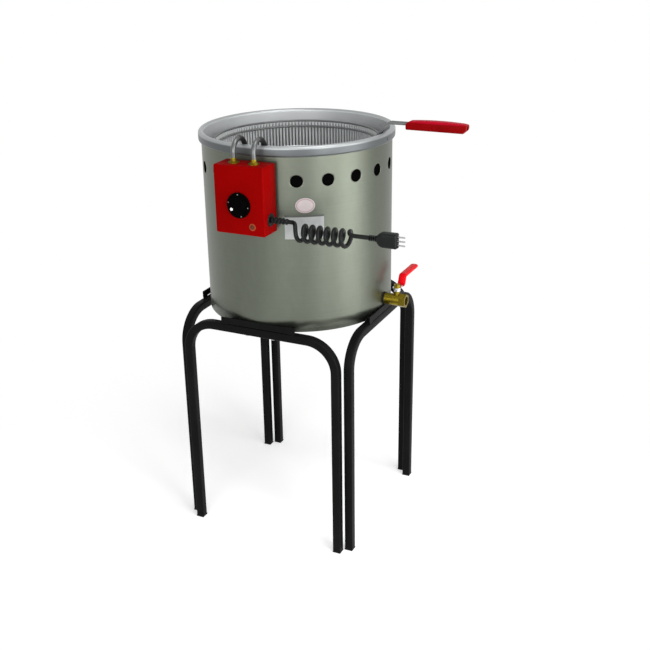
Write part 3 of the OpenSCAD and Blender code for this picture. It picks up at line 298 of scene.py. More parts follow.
# grey sheath up to the bend over the rim, a straw band at the change, and beyond it painted shade in near
# black, less metallic and rougher, where the tube turns down into the pot
def elementSteel():
    bright, shadeBlack, straw = tint(0.125, 0.129, 0.129), tint(0.008, 0.008, 0.008), tint(0.16, 0.11, 0.06)
    paint = Paint("elementSheath")
    cloud = paint.noise(60.0, 4.0, rough=0.65)
    fine = paint.noise(900.0, 2.0)
    # painted shade: the run beyond the bend over the rim is painted near black
    shadeBeyondBend = (paint.y + cloud * 0.001).step(-0.2112, -0.2092)
    change = shadeBeyondBend * (1.0 - shadeBeyondBend) * 3.0
    paint.feed(Base_Color=paint.blend(change * 0.5, paint.blend(shadeBeyondBend, bright, shadeBlack), straw),
               Roughness=0.28 + shadeBeyondBend * 0.25 + cloud * 0.08, Metallic=1.0 - shadeBeyondBend * 0.8)
    return paint.relief(fine, 0.00004, 0.5)


# woven fibre round the pot: one sine wave round the axis times one along it; near black with no shine, a dark
# sheet whose colour is painted shade for the vents
def wovenWrap():
    # painted shade: near-black colours with no shine, for the dark seen through the vents
    dark, pale = tint(0.0008, 0.0008, 0.0008), tint(0.003, 0.003, 0.003)
    paint = Paint("wrapFibre", **{"Specular IOR Level": 0.0})
    angle = paint.maths("ARCTAN2", paint.y, paint.x)
    weave = paint.maths("SINE", angle * 500.0) * paint.maths("SINE", paint.z * 2400.0)
    fluff = paint.noise(600.0, 4.0)
    paint.feed(Base_Color=paint.blend(weave * 0.3 + fluff, dark, pale), Roughness=0.9 + fluff * 0.1)
    return paint.relief(weave, 0.0003)


# blank oval badge: brushed face, one darker line near its edge
def badgeSilver():
    low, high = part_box("badge_plate")
    middle = [(a + b) / 2 for a, b in zip(low, high)]
    across = ((high.x - low.x) ** 2 + (high.y - low.y) ** 2) ** 0.5 / 2
    paint = Paint("badgeSilver", Metallic=0.2)
    dx, dy, dz = paint.x - middle[0], paint.y - middle[1], paint.z - middle[2]
    flat = ((dx ** 2.0 + dy ** 2.0) / across ** 2 + dz ** 2.0 / ((high.z - low.z) / 2) ** 2) ** 0.5
    border = flat.step(0.76, 0.80) * (1.0 - flat.step(0.90, 0.94))
    fine = paint.noise(1.0, 3.0, (60, 60, 4000))
    cloud = paint.noise(90.0, 3.0)
    tone = (fine * 0.5 + cloud * 0.5).step(0.3, 0.7)
    base = paint.blend(tone, tint(0.39, 0.34, 0.345), tint(0.45, 0.395, 0.40))
    paint.feed(Base_Color=paint.blend(border * 0.45, base, tint(0.22, 0.10, 0.11)),
               Roughness=0.32 + cloud * 0.1)
    return paint.relief(fine * 0.2 + border, 0.0002, 0.5)


# blank rating label: grey foil with a painted shadow line along its upper edge
def labelFoil():
    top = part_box("rating_plate")[1].z
    paint = Paint("labelFoil", Metallic=0.35)
    fine = paint.noise(700.0, 2.0)
    cloud = paint.noise(50.0, 3.0)
    # painted shadow: a dark line just under the label's upper edge
    shadowLine = paint.z.step(top - 0.0036, top - 0.0030)
    base = paint.blend(cloud.step(0.3, 0.7), tint(0.275, 0.288, 0.283), tint(0.33, 0.343, 0.338))
    paint.feed(Base_Color=paint.blend(shadowLine * 0.9, base, tint(0.05, 0.052, 0.045)),
               Roughness=0.38 + fine * 0.1)
    return paint.relief(fine, 0.00003, 0.4)


# lamp lens with a fine grid of facets
def amberLens():
    paint = Paint("lampAmber", **{"Coat Weight": 0.2, "Coat Roughness": 0.1, "Specular IOR Level": 0.2})
    facets = paint.maths("SINE", paint.z * 5200.0) * paint.maths("SINE", paint.x * 5200.0)
    base = paint.blend(facets * 0.5 + 0.5, tint(0.055, 0.006, 0.001), tint(0.11, 0.016, 0.002))
    paint.feed(Base_Color=base, Roughness=0.22 + facets * 0.04)
    return paint.relief(facets, 0.0002, 0.6)


# white pointer on the grip, greyer marks out on the dial: the distance from the knob's axis parts them
def dialEnamel(axisX=0.002, axisZ=0.77853):
    paint = Paint("markEnamel", **{"Specular IOR Level": 0.25})
    fine = paint.noise(900.0, 2.0)
    worn = paint.noise(700.0, 4.0, rough=0.7).step(0.5, 0.8)
    away = ((paint.x - axisX) ** 2.0 + (paint.z - axisZ) ** 2.0) ** 0.5
    base = paint.blend(away.step(0.0165, 0.0185), tint(0.86, 0.86, 0.84), tint(0.24, 0.23, 0.22))
    paint.feed(Base_Color=paint.blend(worn * 0.25, base, tint(0.10, 0.10, 0.10)), Roughness=0.42 + fine * 0.1)
    return paint.relief(fine, 0.00004, 0.5)


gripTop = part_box("handle_grip")[1].z
finishes = dict(
    stand_black=blackPowderCoat(),
    foot_black=mouldedPlastic("footRubber", tint(0.008, 0.008, 0.008), 0.62, shine=0.2),
    zinc_steel=turnedMetal("zincPlate", tint(0.46, 0.465, 0.45), 0.36, grime=0.25),
    jacket_steel=jacketSteel(),
    wrap_dark=wovenWrap(),
    pot_aluminium=potAluminium(),
    rivet_dark=turnedMetal("rivetSteel", tint(0.20, 0.20, 0.20), 0.40),
    plate_silver=badgeSilver(),
    plate_white=labelFoil(),
    seal_black=mouldedPlastic("sealRubber", tint(0.006, 0.006, 0.006), 0.55, shine=0.15),
    brass=turnedMetal("valveBrass", tint(0.222, 0.165, 0.014), 0.30),
    bright_steel=turnedMetal("brightSteel", tint(0.52, 0.525, 0.53), 0.24, grime=0.2),
    seat_white=mouldedPlastic("seatResin", tint(0.75, 0.75, 0.72), 0.40, rub=0.05),
    lever_red=mouldedPlastic("leverDip", tint(0.70, 0.002, 0.007), 0.36, grain=700.0, shine=0.08),
    basket_wire=basketWire(),
    # the grip's top gets a painted highlight: a lighter red above a height, for the light that falls on it
    grip_red=mouldedPlastic("gripMould", tint(0.205, 0.0008, 0.0015), 0.36, shine=0.03, rub=0.01,
                            litTop=(gripTop - 0.004, tint(0.44, 0.004, 0.020))),
    box_red=sprayedPaint("boxPaint", tint(0.238, 0.0005, 0.0005), 0.42, 0.015),
    inner_plastic=mouldedPlastic("innerPlastic", tint(0.05, 0.05, 0.055), 0.45),
    knob_black=mouldedPlastic("knobMould", tint(0.0012, 0.0012, 0.0012), 0.45, shine=0.008, rub=0.008),
    mark_white=dialEnamel(),
    lamp_tan=mouldedPlastic("lampRim", tint(0.30, 0.060, 0.022), 0.42, shine=0.1),
    lamp_amber=amberLens(),
    terminal_white=mouldedPlastic("terminalResin", tint(0.70, 0.69, 0.64), 0.48),
    element_steel=elementSteel(),
    cord_grey=mouldedPlastic("cordRubber", tint(0.0052, 0.0064, 0.0058), 0.40, grain=1200.0, rub=0.04,
                             shine=0.17),
    pin_bright=turnedMetal("pinNickel", tint(0.40, 0.40, 0.41), 0.26, grime=0.2),
)
slotOf = {part["node"]: part["material_slot"] for part in frame["record"]["subparts"]}
for name, node in nodes.items():
    node.data.materials.clear()
    node.data.materials.append(finishes[slotOf[name]].material)
print("finishes:", len(finishes))


# faces between neighbouring points of a grid; they face along (row direction) x (column direction)
def gridShape(points, wrapRows=False, wrapColumns=False, capRows=False, flip=False):
    rows, columns = points.shape[:2]
    ids = np.arange(rows * columns).reshape(rows, columns)
    net = np.vstack([ids, ids[:1]]) if wrapRows else ids
    net = np.hstack([net, net[:, :1]]) if wrapColumns else net
    faces = np.stack([net[:-1, :-1], net[1:, :-1], net[1:, 1:], net[:-1, 1:]], -1).reshape(-1, 4).tolist()
    if capRows:
        faces += [ids[0].tolist(), ids[-1][::-1].tolist()]
    if flip:
        faces = [face[::-1] for face in faces]
    return points.reshape(-1, 3), faces


# the same shape at many places: copies is (count, points, 3), faces count up from copy to copy
def repeatShape(copies, faces):
    size = copies.shape[1]
    return copies.reshape(-1, 3), [[i + size * k for i in face] for k in range(len(copies)) for face in faces]


def joinShapes(shapes):
    starts = np.cumsum([0] + [len(points) for points, _ in shapes])
    faces = [[i + start for i in face] for (_, part), start in zip(shapes, starts) for face in part]
    return np.vstack([points for points, _ in shapes]), faces


def shapeMesh(name, shape):
    points, faces = shape
    mesh = bpy.data.meshes.new(name)
    mesh.from_pydata(points.tolist(), [], faces)
    return mesh


def reworkMesh(mesh, change):  # one bmesh operation on a mesh
    work = bmesh.new()
    work.from_mesh(mesh)
    change(work)
    work.to_mesh(mesh)
    work.free()


def weldPoints(work, reach=2e-6):
    bmesh.ops.remove_doubles(work, verts=work.verts, dist=reach)


def turnOutwards(work):
    bmesh.ops.recalc_face_normals(work, faces=work.faces)


def smoothMesh(mesh, sharp):  # smooth apart from edges over the sharp angle
    mesh.polygons.foreach_set("use_smooth", np.ones(len(mesh.polygons), bool))
    mesh.set_sharp_from_angle(angle=np.radians(sharp))


# one object at the origin, on its body and in its slot, in place of the CAD nodes that it replaces
def makePiece(name, shapes, body, slot, replaced, sharp=32.0, weld=False):
    mesh = shapeMesh(name, joinShapes(shapes))
    if weld:
        reworkMesh(mesh, weldPoints)
    smoothMesh(mesh, sharp)
    mesh.materials.append(finishes[slot].material)
    piece = addObject(name, mesh)
    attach(piece, body)
    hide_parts(*replaced)
    return piece


def addWall(piece, thick):  # a sheet gets its thickness inwards
    wall = piece.modifiers.new("wall", "SOLIDIFY")
    wall.thickness, wall.offset = thick, -1.0


def unitRows(v):
    return v / np.linalg.norm(v, axis=-1, keepdims=True)


# ring of points: circle of the radius, counted round from the first axis
def circleSection(radius, sides):
    a = np.linspace(0, 2 * np.pi, sides, endpoint=False)
    return radius * np.column_stack([np.cos(a), np.sin(a)])


# superellipse: x = a sign(cos t) |cos t|^(2/n), y likewise with b and sin
def superSection(a, b, power, sides):
    t = np.linspace(0, 2 * np.pi, sides, endpoint=False)
    c, s, e = np.cos(t), np.sin(t), 2 / np.asarray(power, float)
    return np.stack([a * np.sign(c) * np.abs(c) ** e, b * np.sign(s) * np.abs(s) ** e], -1)


# rectangle with quarter circles of radius r at its corners
def roundRect(width, height, r, steps=5):
    a = np.radians(np.linspace(0, 90, steps))
    turns = np.radians([0, 90, 180, 270])[:, None] + a
    corner = np.array([[1, 1], [-1, 1], [-1, -1], [1, -1]]) * [width / 2 - r, height / 2 - r]
    return (corner[:, None] + r * np.stack([np.cos(turns), np.sin(turns)], -1)).reshape(-1, 2)


# a section carried along an open path: path point + across * x + up * y, up = direction x across
def sweep(path, across, section):
    ahead = unitRows(np.gradient(path, axis=0))
    across = np.broadcast_to(np.asarray(across, float), path.shape)
    across = unitRows(across - ahead * np.sum(ahead * across, 1, keepdims=True))
    up = np.cross(ahead, across)
    section = np.broadcast_to(section, (len(path),) + np.shape(section)[-2:])
    rings = path[:, None] + section[..., :1] * across[:, None] + section[..., 1:] * up[:, None]
    return gridShape(rings, wrapColumns=True, capRows=True, flip=True)


# a closed profile of radius and height turned about the Z axis; counter-clockwise profiles face outwards
def revolve(profile, sides):
    a = np.linspace(0, 2 * np.pi, sides, endpoint=False)
    r, z = profile[:, :1], profile[:, 1:]
    rings = np.stack(np.broadcast_arrays(r * np.cos(a), r * np.sin(a), z), -1)
    return gridShape(rings, wrapRows=True, wrapColumns=True, flip=True)


def arc(cx, cy, r, first, last, steps):
    a = np.radians(np.linspace(first, last, steps))
    return np.column_stack([cx + r * np.cos(a), cy + r * np.sin(a)])


def turnZ(points, degrees):
    c, s = np.cos(np.radians(degrees)), np.sin(np.radians(degrees))
    return points @ np.array([[c, s, 0], [-s, c, 0], [0, 0, 1]])


# the curly cord: straight out of the boot, a lead-in that drops and quickens its turn, seven curls round the
# X axis, a part turn out and a straight run to the plug; radius and turn give y and z at each x
cordRoute = dict(diameter=0.0084, start=0.0950, axisY=-0.2306, axisZ=0.72943, curlRadius=0.0148, drop=0.0043,
                 pitch=0.0156, curls=7, leadRun=0.01998, endTurn=44.0, straightOut=0.029, sides=20,
                 exitRings=4, leadRings=16, curlRings=36, outRings=14, runRings=6)


def cordPoints(c):
    d, pitch, lead, before = c["diameter"], c["pitch"], c["leadRun"], c["exitRings"]
    exitX = c["start"] + d * np.linspace(0, 1, before + 1)[:-1]
    u = np.linspace(0, 1, c["leadRings"], endpoint=False)
    leadX = c["start"] + d + lead * u + (pitch / 2 - lead) * u ** 2 / 2
    curlStart = c["start"] + d + lead / 2 + pitch / 4
    turn = np.linspace(90, 360 * c["curls"], c["curlRings"] * c["curls"])
    curlX = curlStart + pitch * (turn - 90) / 360
    w = np.linspace(0, 1, c["outRings"] + 1)[1:]
    outX = curlX[-1] + pitch * c["endTurn"] / 180 * w + lead / 2 * w ** 2
    runX = outX[-1] + c["straightOut"] * np.linspace(0, 1, c["runRings"] + 1)[1:]
    x = np.concatenate([exitX, leadX, curlX, outX, runX])
    a = np.radians(np.concatenate([np.zeros(before), 90 * u ** 2, turn, c["endTurn"] * (1 - (1 - w) ** 2),
                                   np.full(c["runRings"], c["endTurn"])]))
    radial = np.column_stack([np.zeros_like(a), -np.sin(a), np.cos(a)])
    above = np.zeros_like(a)
    above[:before + len(u)] = c["drop"] * np.concatenate([np.ones(before), 1 - u ** 2 * (3 - 2 * u)])
    axis = np.column_stack([x, np.full_like(x, c["axisY"]), np.full_like(x, c["axisZ"])])
    path = axis + (c["curlRadius"] + above)[:, None] * radial
    return path, radial


cordPath, cordRadial = cordPoints(cordRoute)
cordSection = circleSection(cordRoute["diameter"] / 2, cordRoute["sides"])
curlyCord = makePiece("curlyCord", [sweep(cordPath, cordRadial, cordSection)], "heater", "cord_grey",
                      ["power_cord"], sharp=60)

# plug: ribbed boot, then a body that widens and squares up towards a rounded face, with low lobes between the
# pins; half width, half height and the superellipse's power over x
plugForm = dict(boot=0.016, body=0.040, bootRadius=0.0027, rib=0.0033, ribs=4, halfHeight=0.0145,
                halfWidth=0.0095, neckRadius=0.0058, edge=0.0018, sides=48, bootRings=57, bodyRings=40,
                edgeRings=6, swellShare=0.36, swellPower=2.2, neckPower=2.0, facePower=4.6,
                lobes=((-0.0118, 0.0017), (-0.0040, 0.0022), (0.0040, 0.0022), (0.0118, 0.0017)),
                lobeOut=0.0016, lobeIn=0.001, lobeWidth=0.0068, lobePower=3.0, lobeSides=24)


def plugShape(p, end):
    bootX = np.linspace(0, p["boot"], p["bootRings"])
    ribWave = np.sin(np.pi * bootX / p["boot"] * p["ribs"]) ** 2
    bootR = p["bootRadius"] + p["rib"] * np.clip(1.4 * ribWave - 0.2, 0, 1)
    t = np.linspace(0, 1, p["bodyRings"])
    swell = 1 - (1 - np.clip(t / p["swellShare"], 0, 1)) ** p["swellPower"]
    high = p["neckRadius"] + (p["halfHeight"] - p["neckRadius"]) * swell * (0.93 + 0.07 * t)
    wide = p["neckRadius"] + (p["halfWidth"] - p["neckRadius"]) * swell
    q = np.linspace(0, np.pi / 2, p["edgeRings"] + 1)[1:]
    faceIn = p["edge"] * (1 - np.cos(q))
    faceX = p["boot"] + p["body"]
    x = np.concatenate([bootX, p["boot"] + (p["body"] - p["edge"]) * t, faceX - p["edge"] * (1 - np.sin(q))])
    a = np.concatenate([bootR, wide, wide[-1] - faceIn])[:, None]
    b = np.concatenate([bootR, high, high[-1] - faceIn])[:, None]
    power = np.concatenate([np.full_like(bootX, p["neckPower"]),
                            p["neckPower"] + (p["facePower"] - p["neckPower"]) * swell,
                            np.full_like(q, p["facePower"])])[:, None]
    path = np.asarray(end) + np.column_stack([x, 0 * x, 0 * x])
    shapes = [sweep(path, (0, 1, 0), superSection(a, b, power, p["sides"]))]
    q = np.linspace(0.3, np.pi / 2, 6)
    lobeX = faceX - p["lobeIn"] + (p["lobeOut"] + p["lobeIn"]) * np.concatenate([[0.0], np.sin(q)])
    narrow = np.concatenate([[1.0], np.cos(q) * 0.45 + 0.55])[:, None]
    for up, half in p["lobes"]:
        path = np.asarray(end) + np.column_stack([lobeX, 0 * lobeX, 0 * lobeX + up])
        section = superSection(p["lobeWidth"] * narrow, half * narrow, p["lobePower"], p["lobeSides"])
        shapes.append(sweep(path, (0, 1, 0), section))
    return shapes


plugPiece = makePiece("plugMoulding", plugShape(plugForm, cordPath[-1]), "heater", "cord_grey", ["plug_body"])
print("plug fitted")

# gland: flange on the box's side, then a boot of rounded ribs that grow smaller; radius over x
glandForm = dict(wall=0.0550, axisY=-0.2306, axisZ=0.74853, inside=0.008, neck=0.0070, flange=0.013,
                 thick=0.003, edge=0.0012, boot=0.037, ribs=5, first=0.0072, last=0.0058, groove=0.0034,
                 bootRings=91, sides=48)


def glandShape(f):
    q = np.linspace(0, np.pi / 2, 6)
    flangeX = f["thick"] - f["edge"] * (1 - np.sin(q))
    flangeR = f["flange"] - f["edge"] * (1 - np.cos(q))
    t = np.linspace(0, 1, f["bootRings"])
    crest = f["first"] + (f["last"] - f["first"]) * t
    ribWave = np.clip(1.5 * np.sin(np.pi * f["ribs"] * t) ** 2, 0, 1)
    bootR = f["groove"] + (crest - f["groove"]) * ribWave
    x = np.concatenate([[-f["inside"], 0.0, 0.0], flangeX, f["thick"] + f["boot"] * t])
    r = np.concatenate([[f["neck"], f["neck"], f["flange"]], flangeR, bootR])
    a = np.linspace(0, 2 * np.pi, f["sides"], endpoint=False)
    rings = np.stack(np.broadcast_arrays(f["wall"] + x[:, None], f["axisY"] + r[:, None] * np.cos(a),
                                         f["axisZ"] + r[:, None] * np.sin(a)), -1)
    return gridShape(rings, wrapColumns=True, capRows=True, flip=True)


makePiece("glandBoot", [glandShape(glandForm)], "heater", "cord_grey", ["cord_gland"])
print("gland fitted")

# stand: square tube with rounded edges, up one leg, round the bends, along the bar and down again
standForm = dict(tube=0.018, edge=0.0028, barY=-0.194, legX=0.1742, bend=0.064, legTop=0.4265, bendRings=19,
                 straight=0.2)


def standPath(f):
    bend = arc(f["legX"] - f["bend"], f["legTop"], f["bend"], 0, 90, f["bendRings"])
    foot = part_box("front_frame")[0].z
    right = np.vstack([[f["legX"], foot], [f["legX"], f["legTop"] - f["straight"]], bend])
    left = right[::-1] * [-1, 1]
    flat = np.vstack([right, left])
    return np.column_stack([flat[:, 0], np.full(len(flat), f["barY"]), flat[:, 1]])


tubeSection = roundRect(standForm["tube"], standForm["tube"], standForm["edge"])
for side, degrees in (("front", 0), ("right", 90), ("back", 180), ("left", 270)):
    path = turnZ(standPath(standForm), degrees)
    outwards = turnZ(np.array([[0.0, -1.0, 0.0]]), degrees)[0]
    makePiece(side + "Bar", [sweep(path, outwards, tubeSection)], "drum_and_stand", "stand_black",
              [side + "_frame"])
print("stand bars: 4")

# jacket: a cylinder in bands; in the vent band each cell runs from its round hole out to its rectangle
jacketForm = dict(radius=0.200, wall=0.001, low=0.4995, high=0.8818, vents=20, ventRadius=0.0125,
                  ventZ=0.8148, ventStart=-64.0, halfBand=0.022, cellColumns=12, cellRows=8, cellRings=6,
                  spread=1.4, lowRings=12, highRings=4)


def jacketShapes(f):
    cell = 2 * np.pi / f["vents"]
    start = np.radians(f["ventStart"])
    angles = start - cell / 2 + np.linspace(0, 2 * np.pi, f["vents"] * f["cellColumns"], endpoint=False)

    def band(low, high, rings):  # plain cylinder between two heights
        z, a = np.meshgrid(np.linspace(low, high, rings), angles, indexing="ij")
        grid = np.stack([f["radius"] * np.cos(a), f["radius"] * np.sin(a), z], -1)
        return gridShape(grid, wrapColumns=True, flip=True)

    across = np.linspace(-1, 1, f["cellColumns"], endpoint=False)
    up = np.linspace(-1, 1, f["cellRows"], endpoint=False)
    edge = np.vstack([np.column_stack([across, across * 0 - 1]), np.column_stack([up * 0 + 1, up]),
                      np.column_stack([-across, across * 0 + 1]), np.column_stack([up * 0 - 1, -up])])
    edge = edge * [cell / 2 * f["radius"], f["halfBand"]]
    rim = f["ventRadius"] * unitRows(edge)
    t = np.linspace(0, 1, f["cellRings"])[:, None, None] ** f["spread"]
    flat = rim + (edge - rim) * t
    turn = start + cell * np.arange(f["vents"])[:, None, None] + flat[..., 0] / f["radius"]
    height = np.broadcast_to(f["ventZ"] + flat[..., 1], turn.shape)
    cells = np.stack([f["radius"] * np.cos(turn), f["radius"] * np.sin(turn), height], -1)
    faces = gridShape(cells[0], wrapColumns=True)[1]
    vents = repeatShape(cells.reshape(f["vents"], -1, 3), faces)
    low, high = f["ventZ"] - f["halfBand"], f["ventZ"] + f["halfBand"]
    return [band(f["low"], low, f["lowRings"]), vents, band(high, f["high"], f["highRings"])]


jacket = makePiece("jacketShell", jacketShapes(jacketForm), "drum_and_stand", "jacket_steel", ["drum_jacket"],
                   weld=True)
addWall(jacket, jacketForm["wall"])
print("jacket with", jacketForm["vents"], "vents")

# pot: one spun profile, floor, wall, rolled rim and skirt drawn in to the jacket
potForm = dict(inner=0.194, wall=0.002, low=0.5135, floor=0.5165, rimZ=0.87803, rimCentre=0.200, roll=0.006,
               skirtZ=0.86803, lipZ=0.86253, lipOut=0.2024, corner=0.006, skirtBend=0.0045, skirtDrop=0.0010,
               skirtTurn=-58, pole=0.0005, floorRing=0.1, wallRings=9, sides=192)


def potProfile(f):
    inn, out, w, c = f["inner"], f["inner"] + f["wall"], f["wall"], f["corner"]
    roll, mid, bend = f["roll"], f["rimCentre"], f["skirtBend"]
    skirt = mid + roll
    heights = np.linspace(f["floor"] + c, f["rimZ"], f["wallRings"])
    upOutside, downInside = heights[:-1], heights[-2:0:-1]  # the corners and the rim bring the other rings
    return np.vstack([
        [[f["pole"], f["low"]], [f["floorRing"], f["low"]]],
        arc(out - c, f["low"] + c, c, -90, 0, 7),
        np.column_stack([np.full_like(upOutside, out), upOutside]),
        arc(mid, f["rimZ"], roll - w, 180, 0, 17),
        [[skirt - w, f["skirtZ"]], [f["lipOut"] - w, f["lipZ"]], [f["lipOut"], f["lipZ"]]],
        arc(skirt - bend, f["skirtZ"] - f["skirtDrop"], bend, f["skirtTurn"], 0, 8),
        arc(mid, f["rimZ"], roll, 0, 180, 25),
        np.column_stack([np.full_like(downInside, inn), downInside]),
        arc(inn - c, f["floor"] + c, c, 0, -90, 7),
        [[f["floorRing"], f["floor"]], [f["pole"], f["floor"]]],
    ])


makePiece("spunPot", [revolve(potProfile(potForm), potForm["sides"])], "drum_and_stand", "pot_aluminium",
          ["inner_pot"])
print("pot turned")

# basket: upright wires that bend in at the foot, hoops, and a floor of crossed wires inside an edge ring
basketForm = dict(radius=0.173, wire=0.003, upright=0.0046, count=148, top=0.8605, low=0.5562, bend=0.009,
                  hoops=(0.600, 0.668, 0.736, 0.804), floorRadius=0.1685, floorGap=0.0025, floorStep=0.0122,
                  floorCount=13, crossStep=0.056, crossCount=2, crossRise=0.85, wireSides=6, ringSides=10,
                  ringSteps=128)


def wireRow(starts, ends, radius, sides):  # straight wires from start to end points, all in one array
    ahead = unitRows(ends - starts)
    across = unitRows(np.cross(ahead, [0.0, 0.0, 1.0]))
    up = np.cross(ahead, across)
    section = circleSection(radius, sides)
    ring = section[None, :, :1] * across[:, None] + section[None, :, 1:] * up[:, None]
    copies = np.stack([starts[:, None] + ring, ends[:, None] + ring], 1)
    faces = gridShape(copies[0], wrapColumns=True, capRows=True, flip=True)[1]
    return repeatShape(copies.reshape(len(starts), -1, 3), faces)


def wireRing(f, radius, z):  # a round wire bent to a ring at this height
    return revolve(circleSection(f["wire"] / 2, f["ringSides"]) + [radius, z], f["ringSteps"])


def wallShapes(f):
    foot = arc(f["radius"] - f["bend"], f["low"] + f["bend"], f["bend"], -90, 0, 5)
    line = np.vstack([foot, [[f["radius"], f["top"]]]])
    path = np.column_stack([line[:, 0], 0 * line[:, 0], line[:, 1]])
    points, faces = sweep(path, (0, 1, 0), circleSection(f["upright"] / 2, f["wireSides"]))
    a = 2 * np.pi * np.arange(f["count"])[:, None] / f["count"]
    copies = np.stack([points[:, 0] * np.cos(a) - points[:, 1] * np.sin(a),
                       points[:, 0] * np.sin(a) + points[:, 1] * np.cos(a),
                       np.broadcast_to(points[:, 2], (f["count"], len(points)))], -1)
    return [repeatShape(copies, faces)] + [wireRing(f, f["radius"] - f["wire"], z) for z in f["hoops"]]


def floorShapes(f):
    def halfChord(away):  # half the length of a wire that passes the middle at this distance
        return np.sqrt(f["floorRadius"] ** 2 - away ** 2) - f["floorGap"]

    y = np.arange(-f["floorCount"], f["floorCount"] + 1) * f["floorStep"]
    x = np.arange(-f["crossCount"], f["crossCount"] + 1) * f["crossStep"]
    longEnds = np.column_stack([halfChord(y), y, np.full_like(y, f["low"])])
    crossEnds = np.column_stack([x, halfChord(x), np.full_like(x, f["low"] + f["wire"] * f["crossRise"])])
    return [wireRow(longEnds * [-1, 1, 1], longEnds, f["wire"] / 2, f["wireSides"]),
            wireRow(crossEnds * [1, -1, 1], crossEnds, f["wire"] / 2, f["wireSides"]),
            wireRing(f, f["floorRadius"] - f["wire"], f["low"])]


makePiece("basketWires", wallShapes(basketForm), "basket", "basket_wire", ["basket_wall"], sharp=70)
makePiece("basketFloorWires", floorShapes(basketForm), "basket", "basket_wire", ["basket_floor"], sharp=70)
print("basket:", basketForm["count"], "upright wires")

# grip: superellipse rings along X with a crowned back, a cut nose, a bevelled end and a recess in that end
gripForm = dict(start=0.246, length=0.124, middleZ=0.9025, halfHeight=0.0105, halfWidth=0.0125, nose=0.009,
                noseDrop=0.0036, crown=0.0026, bevel=0.0075, bevelRise=0.0062, bevelDrop=0.0012, edge=0.0016,
                power=3.6, rings=90, sides=56, recessRadius=0.0045, recessDeep=0.006, recessSides=33,
                sharp=38)


def gripShape(f):
    s = f["length"] * (1 - np.cos(np.linspace(0, np.pi, f["rings"]))) / 2
    t = s / f["length"]
    ends = np.minimum(s, f["length"] - s)
    close = f["edge"] * (1 - np.sqrt(np.clip(1 - (1 - np.clip(ends / f["edge"], 0, 1)) ** 2, 0, 1)))
    nose = np.clip(1 - s / f["nose"], 0, 1)
    back = np.clip((s - f["length"] + f["bevel"]) / f["bevel"], 0, 1)
    top = f["halfHeight"] - f["crown"] * (2 * t - 1) ** 2 - f["noseDrop"] * nose - f["bevelDrop"] * back
    low = f["halfHeight"] * (0.93 + 0.07 * t) - f["bevelRise"] * back
    wide = f["halfWidth"] * (0.93 + 0.07 * np.clip(t / 0.3, 0, 1) - 0.05 * np.clip((t - 0.75) / 0.25, 0, 1))
    a = (wide - close)[:, None]
    b = ((top + low) / 2 - close)[:, None]
    path = np.column_stack([f["start"] + s, 0 * s, f["middleZ"] + (top - low) / 2])
    section = superSection(a, b, f["power"], f["sides"])
    rings = path[:, None] + np.stack([0 * section[..., 0], section[..., 0], section[..., 1]], -1)
    return gridShape(rings, wrapColumns=True, capRows=True, flip=True)


# a round cutter into the end that faces +X, taken out with a boolean that is applied at once
def boreEnd(piece, f, clear=0.004):
    x = f["start"] + f["length"]
    ring = circleSection(f["recessRadius"], f["recessSides"])
    ends = np.array([x - f["recessDeep"], x + clear])[:, None]
    points = np.stack(np.broadcast_arrays(ends, ring[:, 0], f["middleZ"] + ring[:, 1]), -1)
    mesh = shapeMesh("cutter", gridShape(points, wrapColumns=True, capRows=True))
    reworkMesh(mesh, turnOutwards)
    cutter = addObject("cutter", mesh)
    cut = piece.modifiers.new("recess", "BOOLEAN")
    cut.operation, cut.solver, cut.object = "DIFFERENCE", "EXACT", cutter
    graph = bpy.context.evaluated_depsgraph_get()
    result = bpy.data.meshes.new_from_object(piece.evaluated_get(graph))
    piece.modifiers.remove(cut)
    piece.data = result
    bpy.data.objects.remove(cutter)
    smoothMesh(result, f["sharp"])


grip = makePiece("gripMoulding", [gripShape(gripForm)], "basket", "grip_red", ["handle_grip"],
                 sharp=gripForm["sharp"])
boreEnd(grip, gripForm)
print("grip moulded")

# control box: rounded outline from the open back to a front with rounded edges
boxForm = dict(middleX=0.002, back=-0.2066, front=-0.2546, low=0.72053, high=0.85353, width=0.106,
               corner=0.0018, leastCorner=0.0003, edge=0.0014, wall=0.0012)


def boxShape(f):
    height = f["high"] - f["low"]
    q = np.linspace(0, np.pi / 2, 7)
    y = np.concatenate([[f["back"], (f["back"] + f["front"]) / 2], f["front"] + f["edge"] * (1 - np.sin(q))])
    inset = np.concatenate([[0.0, 0.0], f["edge"] * (1 - np.cos(q))])
    corners = np.maximum(f["corner"] - inset * 0.9, f["leastCorner"])
    outline = np.array([roundRect(f["width"] - 2 * i, height - 2 * i, r) for i, r in zip(inset, corners)])
    points = np.stack([f["middleX"] + outline[..., 0], np.broadcast_to(y[:, None], outline.shape[:2]),
                       f["low"] + height / 2 + outline[..., 1]], -1)
    shape, faces = gridShape(points, wrapColumns=True)
    front = list(range(len(shape) - outline.shape[1], len(shape)))
    return shape, faces + [front[::-1]]


boxCover = makePiece("boxCover", [boxShape(boxForm)], "heater", "box_red", ["control_box"], sharp=40)
addWall(boxCover, boxForm["wall"])
print("control box pressed")

# knob: dial and grip turned about the shaft, flutes as a wave on the dial's radius
knobForm = dict(x=0.002, y=-0.2554, z=0.77853, dial=0.0255, dialThick=0.005, grip=0.018, gripHigh=0.007,
                flutes=36, depth=0.0004, edge=0.0008, pole=0.0002, sides=288)


